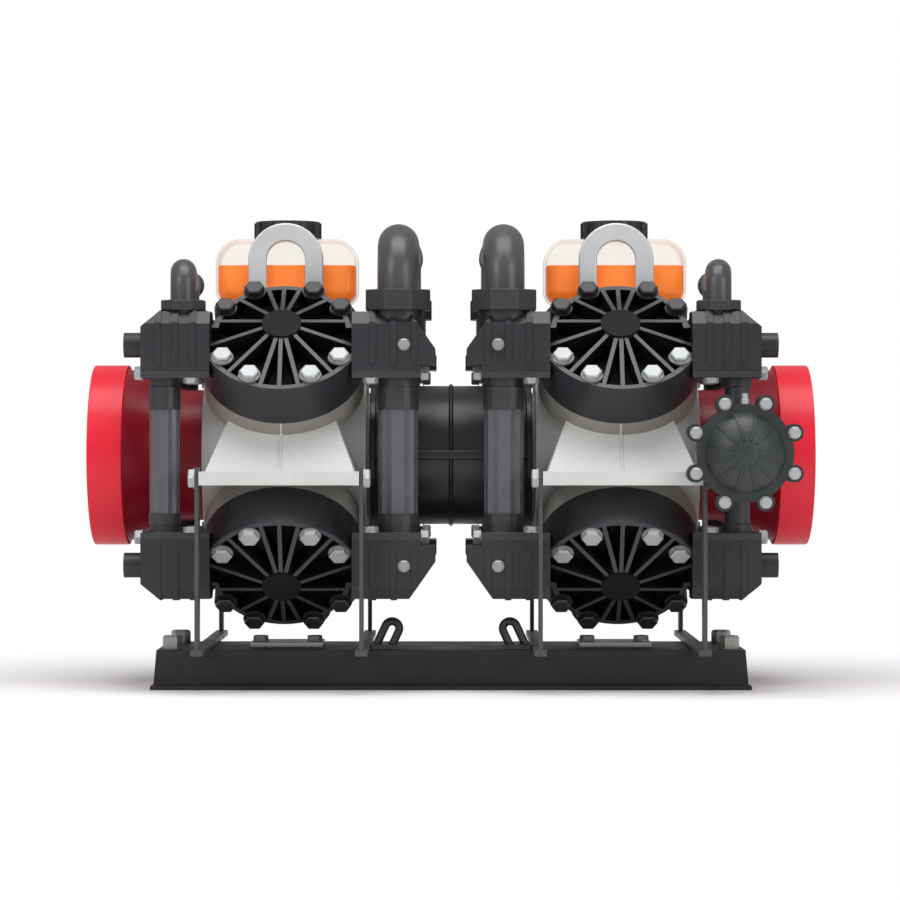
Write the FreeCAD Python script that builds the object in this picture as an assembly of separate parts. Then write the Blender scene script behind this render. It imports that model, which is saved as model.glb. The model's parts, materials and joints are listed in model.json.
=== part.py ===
"""Two four-cylinder piston diaphragm pumps, coupled on one base rail.

X runs along the shafts, Z is up and the front faces -Y. The origin lies on the
ground under the middle of the rail. Sizes are millimetres.

Each cylinder unit is drawn with its axis upright, so heights in it are distances
out from the shaft. It is then tipped forward as the front upper unit of the left
pump. Mirroring that piece gives its twins in the other corners and in the right pump.
"""
import FreeCAD, Part
import math
import os

os.makedirs("parts", exist_ok=True)
V = FreeCAD.Vector
X_AXIS = V(1, 0, 0)
Y_AXIS = V(0, 1, 0)
Z_AXIS = V(0, 0, 1)
CENTRE = V(0, 0, 0)

# Layout of the set
PUMP_X = 163.0
SHAFT_Z = 228.0
UNIT_TILT = 45.0

# Clearances
RUNNING_GAP = 0.05
SEAT_GAP = 0.05
SPLINE_GAP = 0.15
SOFT_GAP = 0.1

# Diaphragm and the flange that holds it
FLANGE_R = 78.0
FLANGE_T = 25.0
CROWN = 117.0
DIAPHRAGM_T = 4.0
DIAPHRAGM_R = 60.0
RIM_WIDTH = 5.5
FLANGE_FACE = CROWN + DIAPHRAGM_T
FLANGE_START = FLANGE_FACE - FLANGE_T

# Eccentric, slipper ring, pistons and sleeves
ECCENTRICITY = 8.0
JOURNAL_R = 26.0
JOURNAL_LENGTH = 30.0
SLIPPER_WALL = 10.0
SLIPPER_R = JOURNAL_R + SLIPPER_WALL
RING_REACH = SLIPPER_R + ECCENTRICITY
STROKE_MARGIN = 2.0
SLEEVE_BORE_R = 40.0
SLEEVE_WALL = 4.0
SLEEVE_R = SLEEVE_BORE_R + SLEEVE_WALL
SLEEVE_TOP = CROWN - ECCENTRICITY - STROKE_MARGIN
SLEEVE_LENGTH = 47.0
PISTON_R = SLEEVE_BORE_R - RUNNING_GAP
PISTON_HEIGHT = 34.0
PISTON_SKIRT_WALL = 6.0
CROWN_T = 8.0
CROWN_FLAT_R = 36.0
CROWN_SLOPE = 5.0
PIN_R = 8.0
PIN_DROP = 22.0
ROD_FOOT = RING_REACH + ECCENTRICITY + STROKE_MARGIN
ROD_WIDTH = 16.0
FOOT_HALF_WIDTH = 20.0
FOOT_T = 8.0
CLAMP_R = 30.0
CLAMP_T = 5.0
CLAMP_SCREW_R = 6.0
CLAMP_SCREW_LENGTH = 15.0
CLAMP_HEAD_R = 10.0
CLAMP_HEAD_T = 3.0
REST_STROKE = ECCENTRICITY * math.cos(math.radians(UNIT_TILT))

# Pump head
HEAD_DEPTH = 46.0
HEAD_TOP = FLANGE_FACE + HEAD_DEPTH
HEAD_R = FLANGE_R
HEAD_SMALL_R = 67.0
HEAD_WIDE_TO = 12.0
CHAMBER_R = 56.0
CHAMBER_DEPTH = 24.0
POCKET_DEPTH = 14.0
HEAD_RIM_T = 5.0
HUB_R = 19.0
HUB_RISE = 13.0
HEAD_RIB_T = 4.0
RIB_ANGLES = (0.0, 14.0, 42.0, 75.0)
BOLT_CIRCLE_R = 66.0
BOLT_ANGLES = (26.0, 58.0)
BOLT_BOSS_R = 11.0

# Valve arms beside each head
ARM_Y = -118.0
ARM_DEPTH = 56.0
ARM_START = 68.0
OUTER_ARM_END = 134.0
INNER_ARM_END = 148.0
JOINT_Z = 81.0
JOINT_FLANGE_T = 7.0
JOINT_END = 134.0
JOINT_BOLT_X = 86.0
JOINT_BOLT_HALF = 21.0
JOINT_END_HEAD = 8.0
JOINT_END_DROP = 2.0
HEAD_CLEARANCE = 1.0
ARM_TOP = 138.0
ARM_CHAMFER = 12.0
OUTER_SLOPE = (18.0, 15.0)
INNER_SLOPE = (26.0, 36.0)
ARM_RIB_T = 6.0
ARM_RIB_RISE = 1.2
UNION_Z = ARM_TOP + ARM_RIB_RISE
PLUG_Z = 106.0
PLUG_R = 12.0
PLUG_LENGTH = 18.0
BLEED_SCREW_X = 118.0
BOSS_DEPTH = 24.0

# Valves, lying along X between arm passage and chamber
VALVE_Y = -112.0
VALVE_Z = 100.0
VALVE_R = 12.0
VALVE_NEAR = 82.0
VALVE_LENGTH = 16.0
VALVE_SEAT_T = 3.0
VALVE_SEAT_R = 7.0
VALVE_WALL = 2.0
VALVE_DISC_R = 9.5
VALVE_DISC_T = 2.5
PORT_SIZE = 8.0
PORT_Y = -98.0
PORT_Z = 103.0
PORT_END = 46.0

# Manifold tubes and bridge pipes
DELIVERY_TUBE_X = 113.0
DELIVERY_TUBE_R = 12.5
SUCTION_TUBE_X = 112.0
SUCTION_TUBE_R = 17.0
TUBE_WALL = 3.5
TUBE_RING_RISE = 2.0
TUBE_RING_H = 8.0
DELIVERY_PIPE_X = 95.0
REAR_DELIVERY_X = 110.0
DELIVERY_PIPE_R = 12.5
DELIVERY_PIPE_TOP = 190.0
DELIVERY_BEND_R = 14.0
SUCTION_PIPE_R = 20.0
SUCTION_PIPE_TOP = 225.0
SUCTION_BEND_R = 34.0
HOSE_TAIL_Y = 182.0
HOSE_TAIL_TIP = 12.0
BARB_PITCH = 8.0
BARB_RISE = 2.0
BARB_COUNT = 3
UNION_LIP = 5.0
TEE_BALL_RISE = 1.5
DELIVERY_NUT_FLATS = 42.0
DELIVERY_NUT_H = 10.0
SUCTION_NUT_FLATS = 62.0
SUCTION_NUT_H = 20.0
NUT_SIDES = 8

# Crankcase
DRUM_R = 86.0
CASE_HALF = 80.0
BARREL_R = 62.0
CAVITY_R = 62.0
CAVITY_HALF = 34.0
EAR_HALF = 76.0
EAR_FRONT = 178.0
EAR_TOP = -15.5
EAR_T = 13.0
WEB_FOOT_Y = 165.0
WEB_FOOT_HALF = 71.0
WEB_TOP_Y = 110.0
WEB_TOP_Z = 39.0
WEB_TOP_HALF = 50.0
WEB_ROOT_Y = 60.0
SEAM_T = 3.0
SEAM_RISE = 1.5
TOWER_HALF_X = 30.0
TOWER_HALF_Y = 16.0
DECK_HALF_X = 50.0
DECK_HALF_Y = 38.0
DECK_T = 10.0
DECK_TOP = 149.0

# Shaft line
SHAFT_R = 20.0
SPLINE_R = 17.45
SPLINE_ROOT_R = 14.9
SPLINE_TOOTH = 8.6
SPLINE_TEETH = 6
SHAFT_OUTER_END = 167.0
SHAFT_INNER_GAP = 3.0
BEARING_R = 40.0
BEARING_WIDTH = 18.0
SPIGOT_T = 4.0
BORE_R = 36.0
WEIGHT_R = 34.0
WEIGHT_T = 11.0
COVER_R = 62.0
COVER_T = 8.0
SEAL_R = 31.0
SEAL_T = 5.0
COUPLING_R = 26.0
COUPLING_HALF = 45.0

# Guards
GUARD_WALL = 3.0
PTO_DRUM_R = 89.5
PTO_NECK_END = 104.0
PTO_DRUM_START = 158.0
PTO_STEP = 3.5
PTO_MOUTH = 192.0
COUPLING_GUARD_R = 69.0
COUPLING_GUARD_HALF = PUMP_X - CASE_HALF - 3.0
GUARD_LIP = 6.0
SEAM_LUG_Y = 7.0
SEAM_LUG_T = 4.0
GUARD_RIB_T = 3.0
GUARD_RIB_RISE = 2.0

# Oil tank, cap and lifting eye
TANK_HALF_X = 70.5
TANK_HALF_Y = 37.5
TANK_H = 66.0
TANK_FILLET = 14.0
TANK_SHOULDER = 24.0
TANK_WALL = 2.5
OIL_LEVEL = 188.0
NECK_R = 22.0
NECK_WALL = 3.0
NECK_H = 7.0
CAP_R = 32.0
CAP_H = 16.5
CAP_LIFT = 1.0
CAP_GRIPS = 12
CAP_GRIP = 3.0
EYE_OUTER_R = 37.0
EYE_INNER_R = 19.0
EYE_T = 8.0
EYE_TOP = 229.0
EYE_FOOT = 146.5

# Base rail, cross bars and upright bars
RAIL_HALF = 288.0
RAIL_HALF_Y = 75.0
RAIL_TOP = 37.5
RAIL_WALL = 4.0
RAIL_DRAFT = 3.0
LIP_END = 4.0
LIP_SIDE = 22.0
BASE_HOLE_R = 5.5
BASE_HOLE_X = 250.0
BAR_W = 12.0
BAR_H = 6.0
LEG_T = 4.0
LEG_W = 20.0
LEG_Y = 166.0
LEG_TOP_RISE = 4.0

# Small fittings
M10_FLATS = 17.0
M10_HEAD = 6.5
M8_FLATS = 13.0
M8_HEAD = 5.5
M6_FLATS = 10.0
M6_HEAD = 4.5
BASE_BOLT_X = 274.0
BASE_BOLT_Y = 50.0
FOOT_PLATE_X = 72.0
FOOT_PLATE_Y = 60.0
FOOT_PLATE_T = 5.0
FOOT_BOLT_SPACING = 54.0
TIE_EYE_X = 65.0
TIE_EYE_Y = 60.0
TIE_PLATE_X = 27.0
TIE_PLATE_Y = 22.0
TIE_PLATE_T = 5.0
TIE_BOW_R = 7.0
TIE_ROD_R = 4.0
TIE_BOW_H = 17.0
TIE_LEAN = 25.0

# Pulsation damper on the right pump's front delivery tube
DAMPER_RISE = 2.0
DAMPER_NECK_R = 27.0
DAMPER_NECK_END = 186.0
DAMPER_R = 46.0
DAMPER_LUG_R = 8.5
DAMPER_BODY_T = 12.0
DAMPER_PCD_R = 50.0
DAMPER_BOLTS = 8
MEMBRANE_T = 2.0
DOME_R = 38.0
DOME_FLANGE_T = 9.0
DOME_RISE = 22.0
DOME_WALL = 5.0
AIR_VALVE_R = 4.0
AIR_VALVE_L = 10.0

SIDES = ("left", "right")
CORNERS = (("front", "upper"), ("front", "lower"), ("rear", "upper"), ("rear", "lower"))


def block(x0, x1, y0, y1, z0, z1):
    """Box between two corners, given in any order."""
    low = V(min(x0, x1), min(y0, y1), min(z0, z1))
    high = V(max(x0, x1), max(y0, y1), max(z0, z1))
    size = high - low
    return Part.makeBox(size.x, size.y, size.z, low)


def rod(radius, start, end):
    """Round bar between two points."""
    path = end - start
    return Part.makeCylinder(radius, path.Length, start, path)


def disc(radius, low, high, bore=0.0):
    """Upright disc about Z, with an optional bore."""
    shape = rod(radius, V(0, 0, low), V(0, 0, high))
    if bore:
        shape = shape.cut(rod(bore, V(0, 0, low - 1), V(0, 0, high + 1)))
    return shape


def ring_along_x(radius, bore, x0, x1):
    """Ring about the shaft line."""
    outer = rod(radius, V(x0, 0, 0), V(x1, 0, 0))
    inner = rod(bore, V(x0, 0, 0), V(x1, 0, 0))
    return outer.cut(inner)


def prism(points, path):
    """Flat outline pushed along a path."""
    outline = Part.makePolygon([V(*p) for p in points] + [V(*points[0])])
    return Part.Face(outline).extrude(path)


def spun(profile, origin, axis, angle=360.0):
    """Closed profile turned about an axis."""
    outline = Part.makePolygon([V(*p) for p in profile] + [V(*profile[0])])
    return Part.Face(outline).revolve(origin, axis, angle)


def fused(shapes):
    """One solid out of touching pieces."""
    first = shapes[0]
    return first.multiFuse(shapes[1:]).removeSplitter()


def regular_prism(flats, sides, foot, path):
    """Prism with an even number of sides, measured across its flats."""
    corner_r = flats / 2 / math.cos(math.pi / sides)
    turn = [math.pi * (2 * i + 1) / sides for i in range(sides)]
    flat = [(corner_r * math.cos(a), corner_r * math.sin(a), 0) for a in turn]
    shape = prism(flat, V(0, 0, path.Length))
    shape.Placement = FreeCAD.Placement(foot, FreeCAD.Rotation(Z_AXIS, path))
    return shape


def hex_head(flats, height, foot, direction):
    """Head of a hexagon bolt standing on its seat."""
    return regular_prism(flats, 6, foot, V(direction).multiply(height))


def tipped(shape):
    """Turns an upright cylinder unit into the front upper place."""
    shape = shape.copy()
    shape.rotate(CENTRE, X_AXIS, UNIT_TILT)
    return shape


def mirrored(shape, depth="front", height="upper"):
    """Twin of a front upper piece in another corner of the same pump."""
    if depth == "rear":
        shape = shape.mirror(CENTRE, Y_AXIS)
    if height == "lower":
        shape = shape.mirror(CENTRE, Z_AXIS)
    return shape


def placed(shape, side):
    """Moves a piece of the left pump to its place in the set."""
    if side == "right":
        shape = shape.mirror(CENTRE, X_AXIS)
    shape = shape.copy()
    shape.translate(V(-PUMP_X if side == "left" else PUMP_X, 0, SHAFT_Z))
    return shape


def everywhere(shape):
    """All eight copies of a front upper piece of the left pump."""
    corners = [mirrored(shape, depth, height) for depth, height in CORNERS]
    return [placed(piece, side) for side in SIDES for piece in corners]


def save(node, *shapes):
    """Writes one sub-part, which may be a group of separate solids."""
    whole = shapes[0] if len(shapes) == 1 else Part.makeCompound(list(shapes))
    whole.exportStep(f"parts/{node}.step")


def ear():
    """Foot bar and sloping web on one long side of the crankcase."""
    bar = block(-EAR_HALF, EAR_HALF, -EAR_FRONT, -WEB_ROOT_Y, EAR_TOP - EAR_T, EAR_TOP)
    foot = [
        V(-WEB_FOOT_HALF, -WEB_FOOT_Y, EAR_TOP),
        V(WEB_FOOT_HALF, -WEB_FOOT_Y, EAR_TOP),
        V(WEB_FOOT_HALF, -WEB_ROOT_Y, EAR_TOP),
        V(-WEB_FOOT_HALF, -WEB_ROOT_Y, EAR_TOP),
    ]
    top = [
        V(-WEB_TOP_HALF, -WEB_TOP_Y, WEB_TOP_Z),
        V(WEB_TOP_HALF, -WEB_TOP_Y, WEB_TOP_Z),
        V(WEB_TOP_HALF, -WEB_ROOT_Y, WEB_TOP_Z),
        V(-WEB_TOP_HALF, -WEB_ROOT_Y, WEB_TOP_Z),
    ]
    wires = [Part.makePolygon(points + points[:1]) for points in (foot, top)]
    web = Part.makeLoft(wires, True, True)
    seam_points = [
        (-SEAM_T / 2, -WEB_FOOT_Y - SEAM_RISE, EAR_TOP),
        (-SEAM_T / 2, -WEB_TOP_Y - SEAM_RISE, WEB_TOP_Z),
        (-SEAM_T / 2, -WEB_ROOT_Y, WEB_TOP_Z),
        (-SEAM_T / 2, -WEB_ROOT_Y, EAR_TOP),
    ]
    seam = prism(seam_points, V(SEAM_T, 0, 0))
    return fused([bar, web, seam])


def unit_barrel():
    """Barrel and round flange that carry one head."""
    barrel = disc(BARREL_R, 0, FLANGE_START + 1)
    flange = disc(FLANGE_R, FLANGE_START, FLANGE_FACE)
    return barrel.fuse(flange)


def unit_bore():
    """Sleeve bore, relief under the diaphragm and its recess."""
    sleeve_hole = disc(SLEEVE_R, 0, SLEEVE_TOP)
    profile = [
        (0, 0, SLEEVE_TOP),
        (SLEEVE_R + 1, 0, SLEEVE_TOP),
        (DIAPHRAGM_R - RIM_WIDTH, 0, CROWN),
        (0, 0, CROWN),
    ]
    relief = spun(profile, CENTRE, Z_AXIS)
    recess = disc(DIAPHRAGM_R, CROWN, FLANGE_FACE + 1)
    return fused([sleeve_hole, relief, recess])


def crankcase():
    """Casting of one pump with its bores and bearing seats."""
    solids = [rod(DRUM_R, V(-CASE_HALF, 0, 0), V(CASE_HALF, 0, 0))]
    solids += [ear(), mirrored(ear(), "rear")]
    solids += [mirrored(tipped(unit_barrel()), *corner) for corner in CORNERS]
    solids.append(block(-TOWER_HALF_X, TOWER_HALF_X, -TOWER_HALF_Y, TOWER_HALF_Y,
                        DRUM_R - DECK_T, DECK_TOP - 1))
    solids.append(block(-DECK_HALF_X, DECK_HALF_X, -DECK_HALF_Y, DECK_HALF_Y,
                        DECK_TOP - DECK_T, DECK_TOP))
    holes = [mirrored(tipped(unit_bore()), *corner) for corner in CORNERS]
    holes.append(rod(CAVITY_R, V(-CAVITY_HALF, 0, 0), V(CAVITY_HALF, 0, 0)))
    holes.append(rod(BORE_R, V(-CASE_HALF, 0, 0), V(CASE_HALF, 0, 0)))
    seat = BEARING_WIDTH + SPIGOT_T
    for end in (-1, 1):
        holes.append(rod(BEARING_R, V(end * CASE_HALF, 0, 0),
                         V(end * (CASE_HALF - seat), 0, 0)))
    return fused(solids).cut(fused(holes)).removeSplitter()


def spline(x0, x1, grow=0.0):
    """Six-toothed shaft end, or the bore for it when grown."""
    core = rod(SPLINE_ROOT_R + grow, V(x0, 0, 0), V(x1, 0, 0))
    half = SPLINE_TOOTH / 2 + grow
    teeth = []
    for i in range(SPLINE_TEETH):
        tooth = block(x0, x1, -half, half, 0, SPLINE_R + 1)
        tooth.rotate(CENTRE, X_AXIS, 360.0 * i / SPLINE_TEETH)
        teeth.append(tooth)
    limit = rod(SPLINE_R + grow, V(x0, 0, 0), V(x1, 0, 0))
    return fused([core] + teeth).common(limit)


def counterweight(x0, x1):
    """Half disc opposite the throw."""
    whole = rod(WEIGHT_R, V(x0, 0, 0), V(x1, 0, 0))
    return whole.common(block(x0, x1, -WEIGHT_R, WEIGHT_R, -WEIGHT_R, 0))


def crankshaft():
    """Shaft with eccentric, weights and a splined end on each side."""
    plain = CASE_HALF + COVER_T + SPIGOT_T
    half = JOURNAL_LENGTH / 2
    throw = V(0, 0, ECCENTRICITY)
    pieces = [
        rod(SHAFT_R, V(-plain, 0, 0), V(-half, 0, 0)),
        rod(SHAFT_R, V(half, 0, 0), V(plain, 0, 0)),
        rod(JOURNAL_R, V(-half, 0, 0) + throw, V(half, 0, 0) + throw),
        counterweight(half, half + WEIGHT_T),
        counterweight(-half - WEIGHT_T, -half),
        spline(-SHAFT_OUTER_END, -plain + 1),
        spline(plain - 1, PUMP_X - SHAFT_INNER_GAP),
    ]
    return fused(pieces)


def slipper_ring():
    """Ring that turns on the eccentric and pushes the rod feet."""
    half = (JOURNAL_LENGTH - 2) / 2
    ring = ring_along_x(SLIPPER_R, JOURNAL_R + RUNNING_GAP, -half, half)
    ring.translate(V(0, 0, ECCENTRICITY))
    return ring


def bearing(end):
    """Ball bearing outline with the step between its races on both faces."""
    outer_x = CASE_HALF - SPIGOT_T
    mid = (SHAFT_R + BEARING_R) / 2
    ring = ring_along_x(BEARING_R - SEAT_GAP, SHAFT_R + RUNNING_GAP,
                        outer_x - BEARING_WIDTH, outer_x)
    step = ring_along_x(mid + SPIGOT_T, mid - SPIGOT_T, outer_x - 1, outer_x + 1)
    ring = ring.cut(step)
    return ring if end > 0 else ring.mirror(CENTRE, X_AXIS)


def bearing_cover(end):
    """Cover that closes a bearing seat and holds the shaft seal."""
    x1 = CASE_HALF + COVER_T
    spigot = ring_along_x(BEARING_R - SEAT_GAP, SHAFT_R + 1,
                          CASE_HALF - SPIGOT_T, CASE_HALF + 1)
    plate = ring_along_x(COVER_R, SHAFT_R + 1, CASE_HALF, x1)
    pocket = rod(SEAL_R, V(x1 - SEAL_T, 0, 0), V(x1, 0, 0))
    cover = spigot.fuse(plate).cut(pocket)
    return cover if end > 0 else cover.mirror(CENTRE, X_AXIS)


def shaft_seal(end):
    """Lip seal pressed into its cover."""
    x1 = CASE_HALF + COVER_T
    seal = ring_along_x(SEAL_R - SEAT_GAP, SHAFT_R + RUNNING_GAP, x1 - SEAL_T, x1)
    return seal if end > 0 else seal.mirror(CENTRE, X_AXIS)


def cylinder_sleeve():
    """Liner in which a piston slides."""
    return disc(SLEEVE_R - SEAT_GAP, SLEEVE_TOP - SLEEVE_LENGTH, SLEEVE_TOP, SLEEVE_BORE_R)


def piston(stroke):
    """Hollow piston with a sloped crown edge."""
    top = CROWN + stroke
    foot = top - PISTON_HEIGHT
    under = top - CROWN_T
    inner = PISTON_R - PISTON_SKIRT_WALL
    profile = [
        (CLAMP_SCREW_R + SEAT_GAP, 0, under),
        (inner, 0, under),
        (inner, 0, foot),
        (PISTON_R, 0, foot),
        (PISTON_R, 0, top - CROWN_SLOPE),
        (CROWN_FLAT_R, 0, top),
        (CLAMP_SCREW_R + SEAT_GAP, 0, top),
    ]
    shell = spun(profile, CENTRE, Z_AXIS)
    pin_z = top - PIN_DROP
    boss_r = PIN_R + SLEEVE_WALL
    boss = rod(boss_r, V(-inner - 1, 0, pin_z), V(inner + 1, 0, pin_z))
    gap = block(-ROD_WIDTH / 2 - 2, ROD_WIDTH / 2 + 2, -boss_r, boss_r, foot - boss_r, under)
    hole = rod(PIN_R + SEAT_GAP, V(-PISTON_R, 0, pin_z), V(PISTON_R, 0, pin_z))
    body = shell.fuse(boss.cut(gap)).cut(hole)
    return body


def gudgeon_pin(stroke):
    """Hollow pin through piston and rod."""
    z = CROWN + stroke - PIN_DROP
    half = PISTON_R - PISTON_SKIRT_WALL
    pin = rod(PIN_R, V(-half, 0, z), V(half, 0, z))
    return pin.cut(rod(PIN_R / 2, V(-half, 0, z), V(half, 0, z)))


def connecting_rod(stroke):
    """Rod with a pin eye and a hollowed foot that rides on the slipper ring."""
    eye_z = CROWN + stroke - PIN_DROP
    foot = ROD_FOOT + stroke
    half = ROD_WIDTH / 2
    eye_r = PIN_R + SLEEVE_WALL
    eye = rod(eye_r, V(-half, 0, eye_z), V(half, 0, eye_z))
    shank = block(-half, half, -half, half, foot, eye_z)
    wide = JOURNAL_LENGTH / 2 - 1
    shoe = block(-wide, wide, -FOOT_HALF_WIDTH, FOOT_HALF_WIDTH, foot - FOOT_T, foot + FOOT_T)
    hollow = rod(SLIPPER_R + RUNNING_GAP, V(-wide - 1, 0, foot - SLIPPER_R),
                 V(wide + 1, 0, foot - SLIPPER_R))
    hole = rod(PIN_R + SEAT_GAP, V(-half - 1, 0, eye_z), V(half + 1, 0, eye_z))
    return fused([eye, shank, shoe]).cut(hollow).cut(hole)


def clamp_disc(stroke):
    """Disc that holds the diaphragm's middle on the crown."""
    low = FLANGE_FACE + stroke
    profile = [
        (CLAMP_SCREW_R + SEAT_GAP, 0, low),
        (CLAMP_R, 0, low),
        (CLAMP_R, 0, low + CLAMP_T / 2),
        (CLAMP_R - CLAMP_T / 2, 0, low + CLAMP_T),
        (CLAMP_SCREW_R + SEAT_GAP, 0, low + CLAMP_T),
    ]
    return spun(profile, CENTRE, Z_AXIS)


def clamp_screw(stroke):
    """Screw through clamp disc and diaphragm into the crown."""
    seat = FLANGE_FACE + stroke + CLAMP_T
    shank = disc(CLAMP_SCREW_R, seat - CLAMP_SCREW_LENGTH, seat + 1)
    return shank.fuse(disc(CLAMP_HEAD_R, seat, seat + CLAMP_HEAD_T))


def diaphragm(stroke):
    """Moulded diaphragm at its resting stroke, with a flat rim."""
    low = CROWN + stroke + SOFT_GAP
    high = FLANGE_FACE + stroke - SOFT_GAP
    middle = CROWN_FLAT_R + 2
    rim = DIAPHRAGM_R - RIM_WIDTH
    bore = CLAMP_SCREW_R + SOFT_GAP
    profile = [
        (bore, 0, low),
        (middle, 0, low),
        (rim, 0, CROWN),
        (DIAPHRAGM_R - SOFT_GAP, 0, CROWN),
        (DIAPHRAGM_R - SOFT_GAP, 0, FLANGE_FACE),
        (rim, 0, FLANGE_FACE),
        (middle, 0, high),
        (bore, 0, high),
    ]
    return spun(profile, CENTRE, Z_AXIS)


def bolt_spots():
    """Cover bolt places as pairs of X and Y, the four inner ones first."""
    spots = []
    for way in (-1, 1):
        for angle in BOLT_ANGLES:
            a = math.radians(angle)
            for side in (-1, 1):
                spots.append((side * BOLT_CIRCLE_R * math.sin(a),
                              way * BOLT_CIRCLE_R * math.cos(a)))
    return spots


def head_rib(angle, way, reach):
    """Rib that falls from the hub to the rim."""
    floor = HEAD_TOP - POCKET_DEPTH
    points = [
        (-HEAD_RIB_T / 2, 0, floor),
        (-HEAD_RIB_T / 2, 0, HEAD_TOP + HUB_RISE - 2),
        (-HEAD_RIB_T / 2, way * HUB_R, HEAD_TOP + HUB_RISE - 2),
        (-HEAD_RIB_T / 2, way * reach, HEAD_TOP),
        (-HEAD_RIB_T / 2, way * reach, floor),
    ]
    rib = prism(points, V(HEAD_RIB_T, 0, 0))
    rib.rotate(CENTRE, Z_AXIS, angle)
    return rib


def head_cover():
    """Ribbed round cover, wide on the half that faces the crankcase."""
    near = block(-HEAD_R, HEAD_R, -HEAD_R, HEAD_WIDE_TO, FLANGE_FACE, HEAD_TOP)
    wide = disc(HEAD_R, FLANGE_FACE, HEAD_TOP).common(near)
    small = disc(HEAD_SMALL_R, FLANGE_FACE, HEAD_TOP)
    lugs = [rod(BOLT_BOSS_R, V(x, y, FLANGE_FACE), V(x, y, HEAD_TOP))
            for x, y in bolt_spots()]
    floor = HEAD_TOP - POCKET_DEPTH
    pocket = disc(HEAD_R - HEAD_RIM_T, floor, HEAD_TOP + 1)
    pocket = pocket.common(block(-HEAD_R, HEAD_R, -HEAD_R, HEAD_WIDE_TO - HEAD_RIM_T,
                                 floor, HEAD_TOP + 1))
    pocket = pocket.fuse(disc(HEAD_SMALL_R - HEAD_RIM_T, floor, HEAD_TOP + 1))
    body = wide.fuse(small).cut(pocket)
    hub = disc(HUB_R, floor - 1, HEAD_TOP + HUB_RISE)
    ribs = []
    for way, radius in ((-1, HEAD_R), (1, HEAD_SMALL_R)):
        for angle in RIB_ANGLES:
            for turn in {angle, -angle}:
                ribs.append(head_rib(turn, way, radius - HEAD_RIM_T / 2))
    return fused([body, hub] + lugs + ribs)


def arm_outline(x, grow):
    """Side outline of a valve arm, with a chamfered top."""
    front = ARM_Y - ARM_DEPTH / 2 - grow
    back = ARM_Y + ARM_DEPTH / 2 + grow
    foot = JOINT_Z + JOINT_FLANGE_T - 1
    top = ARM_TOP + grow
    return [
        (x, front, foot),
        (x, front, top - ARM_CHAMFER),
        (x, front + ARM_CHAMFER, top),
        (x, back - ARM_CHAMFER, top),
        (x, back, top - ARM_CHAMFER),
        (x, back, foot),
    ]


def sloped_end(way, end, slope):
    """Room that an arm fills, cut off obliquely at the top of its outer end."""
    run, drop = slope
    y = ARM_Y - ARM_DEPTH / 2 - ARM_RIB_RISE
    points = [
        (way * ARM_START, y, JOINT_Z),
        (way * end, y, JOINT_Z),
        (way * end, y, ARM_TOP - drop),
        (way * (end - run), y, ARM_TOP + ARM_RIB_RISE),
        (way * ARM_START, y, ARM_TOP + ARM_RIB_RISE),
    ]
    return prism(points, V(0, ARM_DEPTH + 2 * ARM_RIB_RISE, 0))


def valve_arm(way, end, slope):
    """Solid arm with its joint flange and ribs."""
    pieces = [prism(arm_outline(way * ARM_START, 0), V(way * (end - ARM_START), 0, 0))]
    pitch = (end - ARM_START) / 4
    for step in (1, 2, 3):
        x = ARM_START + step * pitch - ARM_RIB_T / 2
        pieces.append(prism(arm_outline(way * x, ARM_RIB_RISE), V(way * ARM_RIB_T, 0, 0)))
    arm = fused(pieces).common(sloped_end(way, end, slope))
    flange = block(way * ARM_START, way * JOINT_END, ARM_Y - ARM_DEPTH / 2,
                   ARM_Y + ARM_DEPTH / 2, JOINT_Z, JOINT_Z + JOINT_FLANGE_T)
    return fused([arm, flange])


def union_boss(x, radius, nut_h):
    """Round seat on top of an arm for a pipe's foot."""
    return rod(radius + UNION_LIP, V(x, ARM_Y, ARM_TOP - BOSS_DEPTH),
               V(x, ARM_Y, UNION_Z + nut_h / 2))


def arm_hollows(way):
    """Valve bore and the port that joins it to the chamber."""
    bore_end = VALVE_NEAR + VALVE_LENGTH + PORT_SIZE
    bore = rod(VALVE_R, V(way * (VALVE_NEAR - 2), VALVE_Y, VALVE_Z),
               V(way * bore_end, VALVE_Y, VALVE_Z))
    half = PORT_SIZE / 2
    window = block(way * (HEAD_R + 1), way * VALVE_NEAR, VALVE_Y, PORT_Y + half,
                   PORT_Z - half, PORT_Z + half)
    port = block(way * PORT_END, way * (HEAD_R + 2), PORT_Y - half, PORT_Y + half,
                 PORT_Z - half, PORT_Z + half)
    return [bore, window, port]


def passages(pipe_x):
    """Upright ways through both arms, from joint flange to pipe seat."""
    delivery_r = DELIVERY_TUBE_R - TUBE_WALL
    suction_r = SUCTION_TUBE_R - TUBE_WALL
    elbow = ARM_TOP - ARM_CHAMFER
    top = ARM_TOP + SUCTION_NUT_H
    return [
        rod(delivery_r, V(-DELIVERY_TUBE_X, ARM_Y, JOINT_Z - 1),
            V(-DELIVERY_TUBE_X, ARM_Y, elbow)),
        rod(delivery_r, V(-pipe_x, ARM_Y, elbow - PORT_SIZE), V(-pipe_x, ARM_Y, top)),
        block(-DELIVERY_TUBE_X, -pipe_x, ARM_Y - PORT_SIZE / 2,
              ARM_Y + PORT_SIZE / 2, elbow - PORT_SIZE, elbow),
        rod(suction_r, V(SUCTION_TUBE_X, ARM_Y, JOINT_Z - 1), V(SUCTION_TUBE_X, ARM_Y, top)),
    ]


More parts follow.
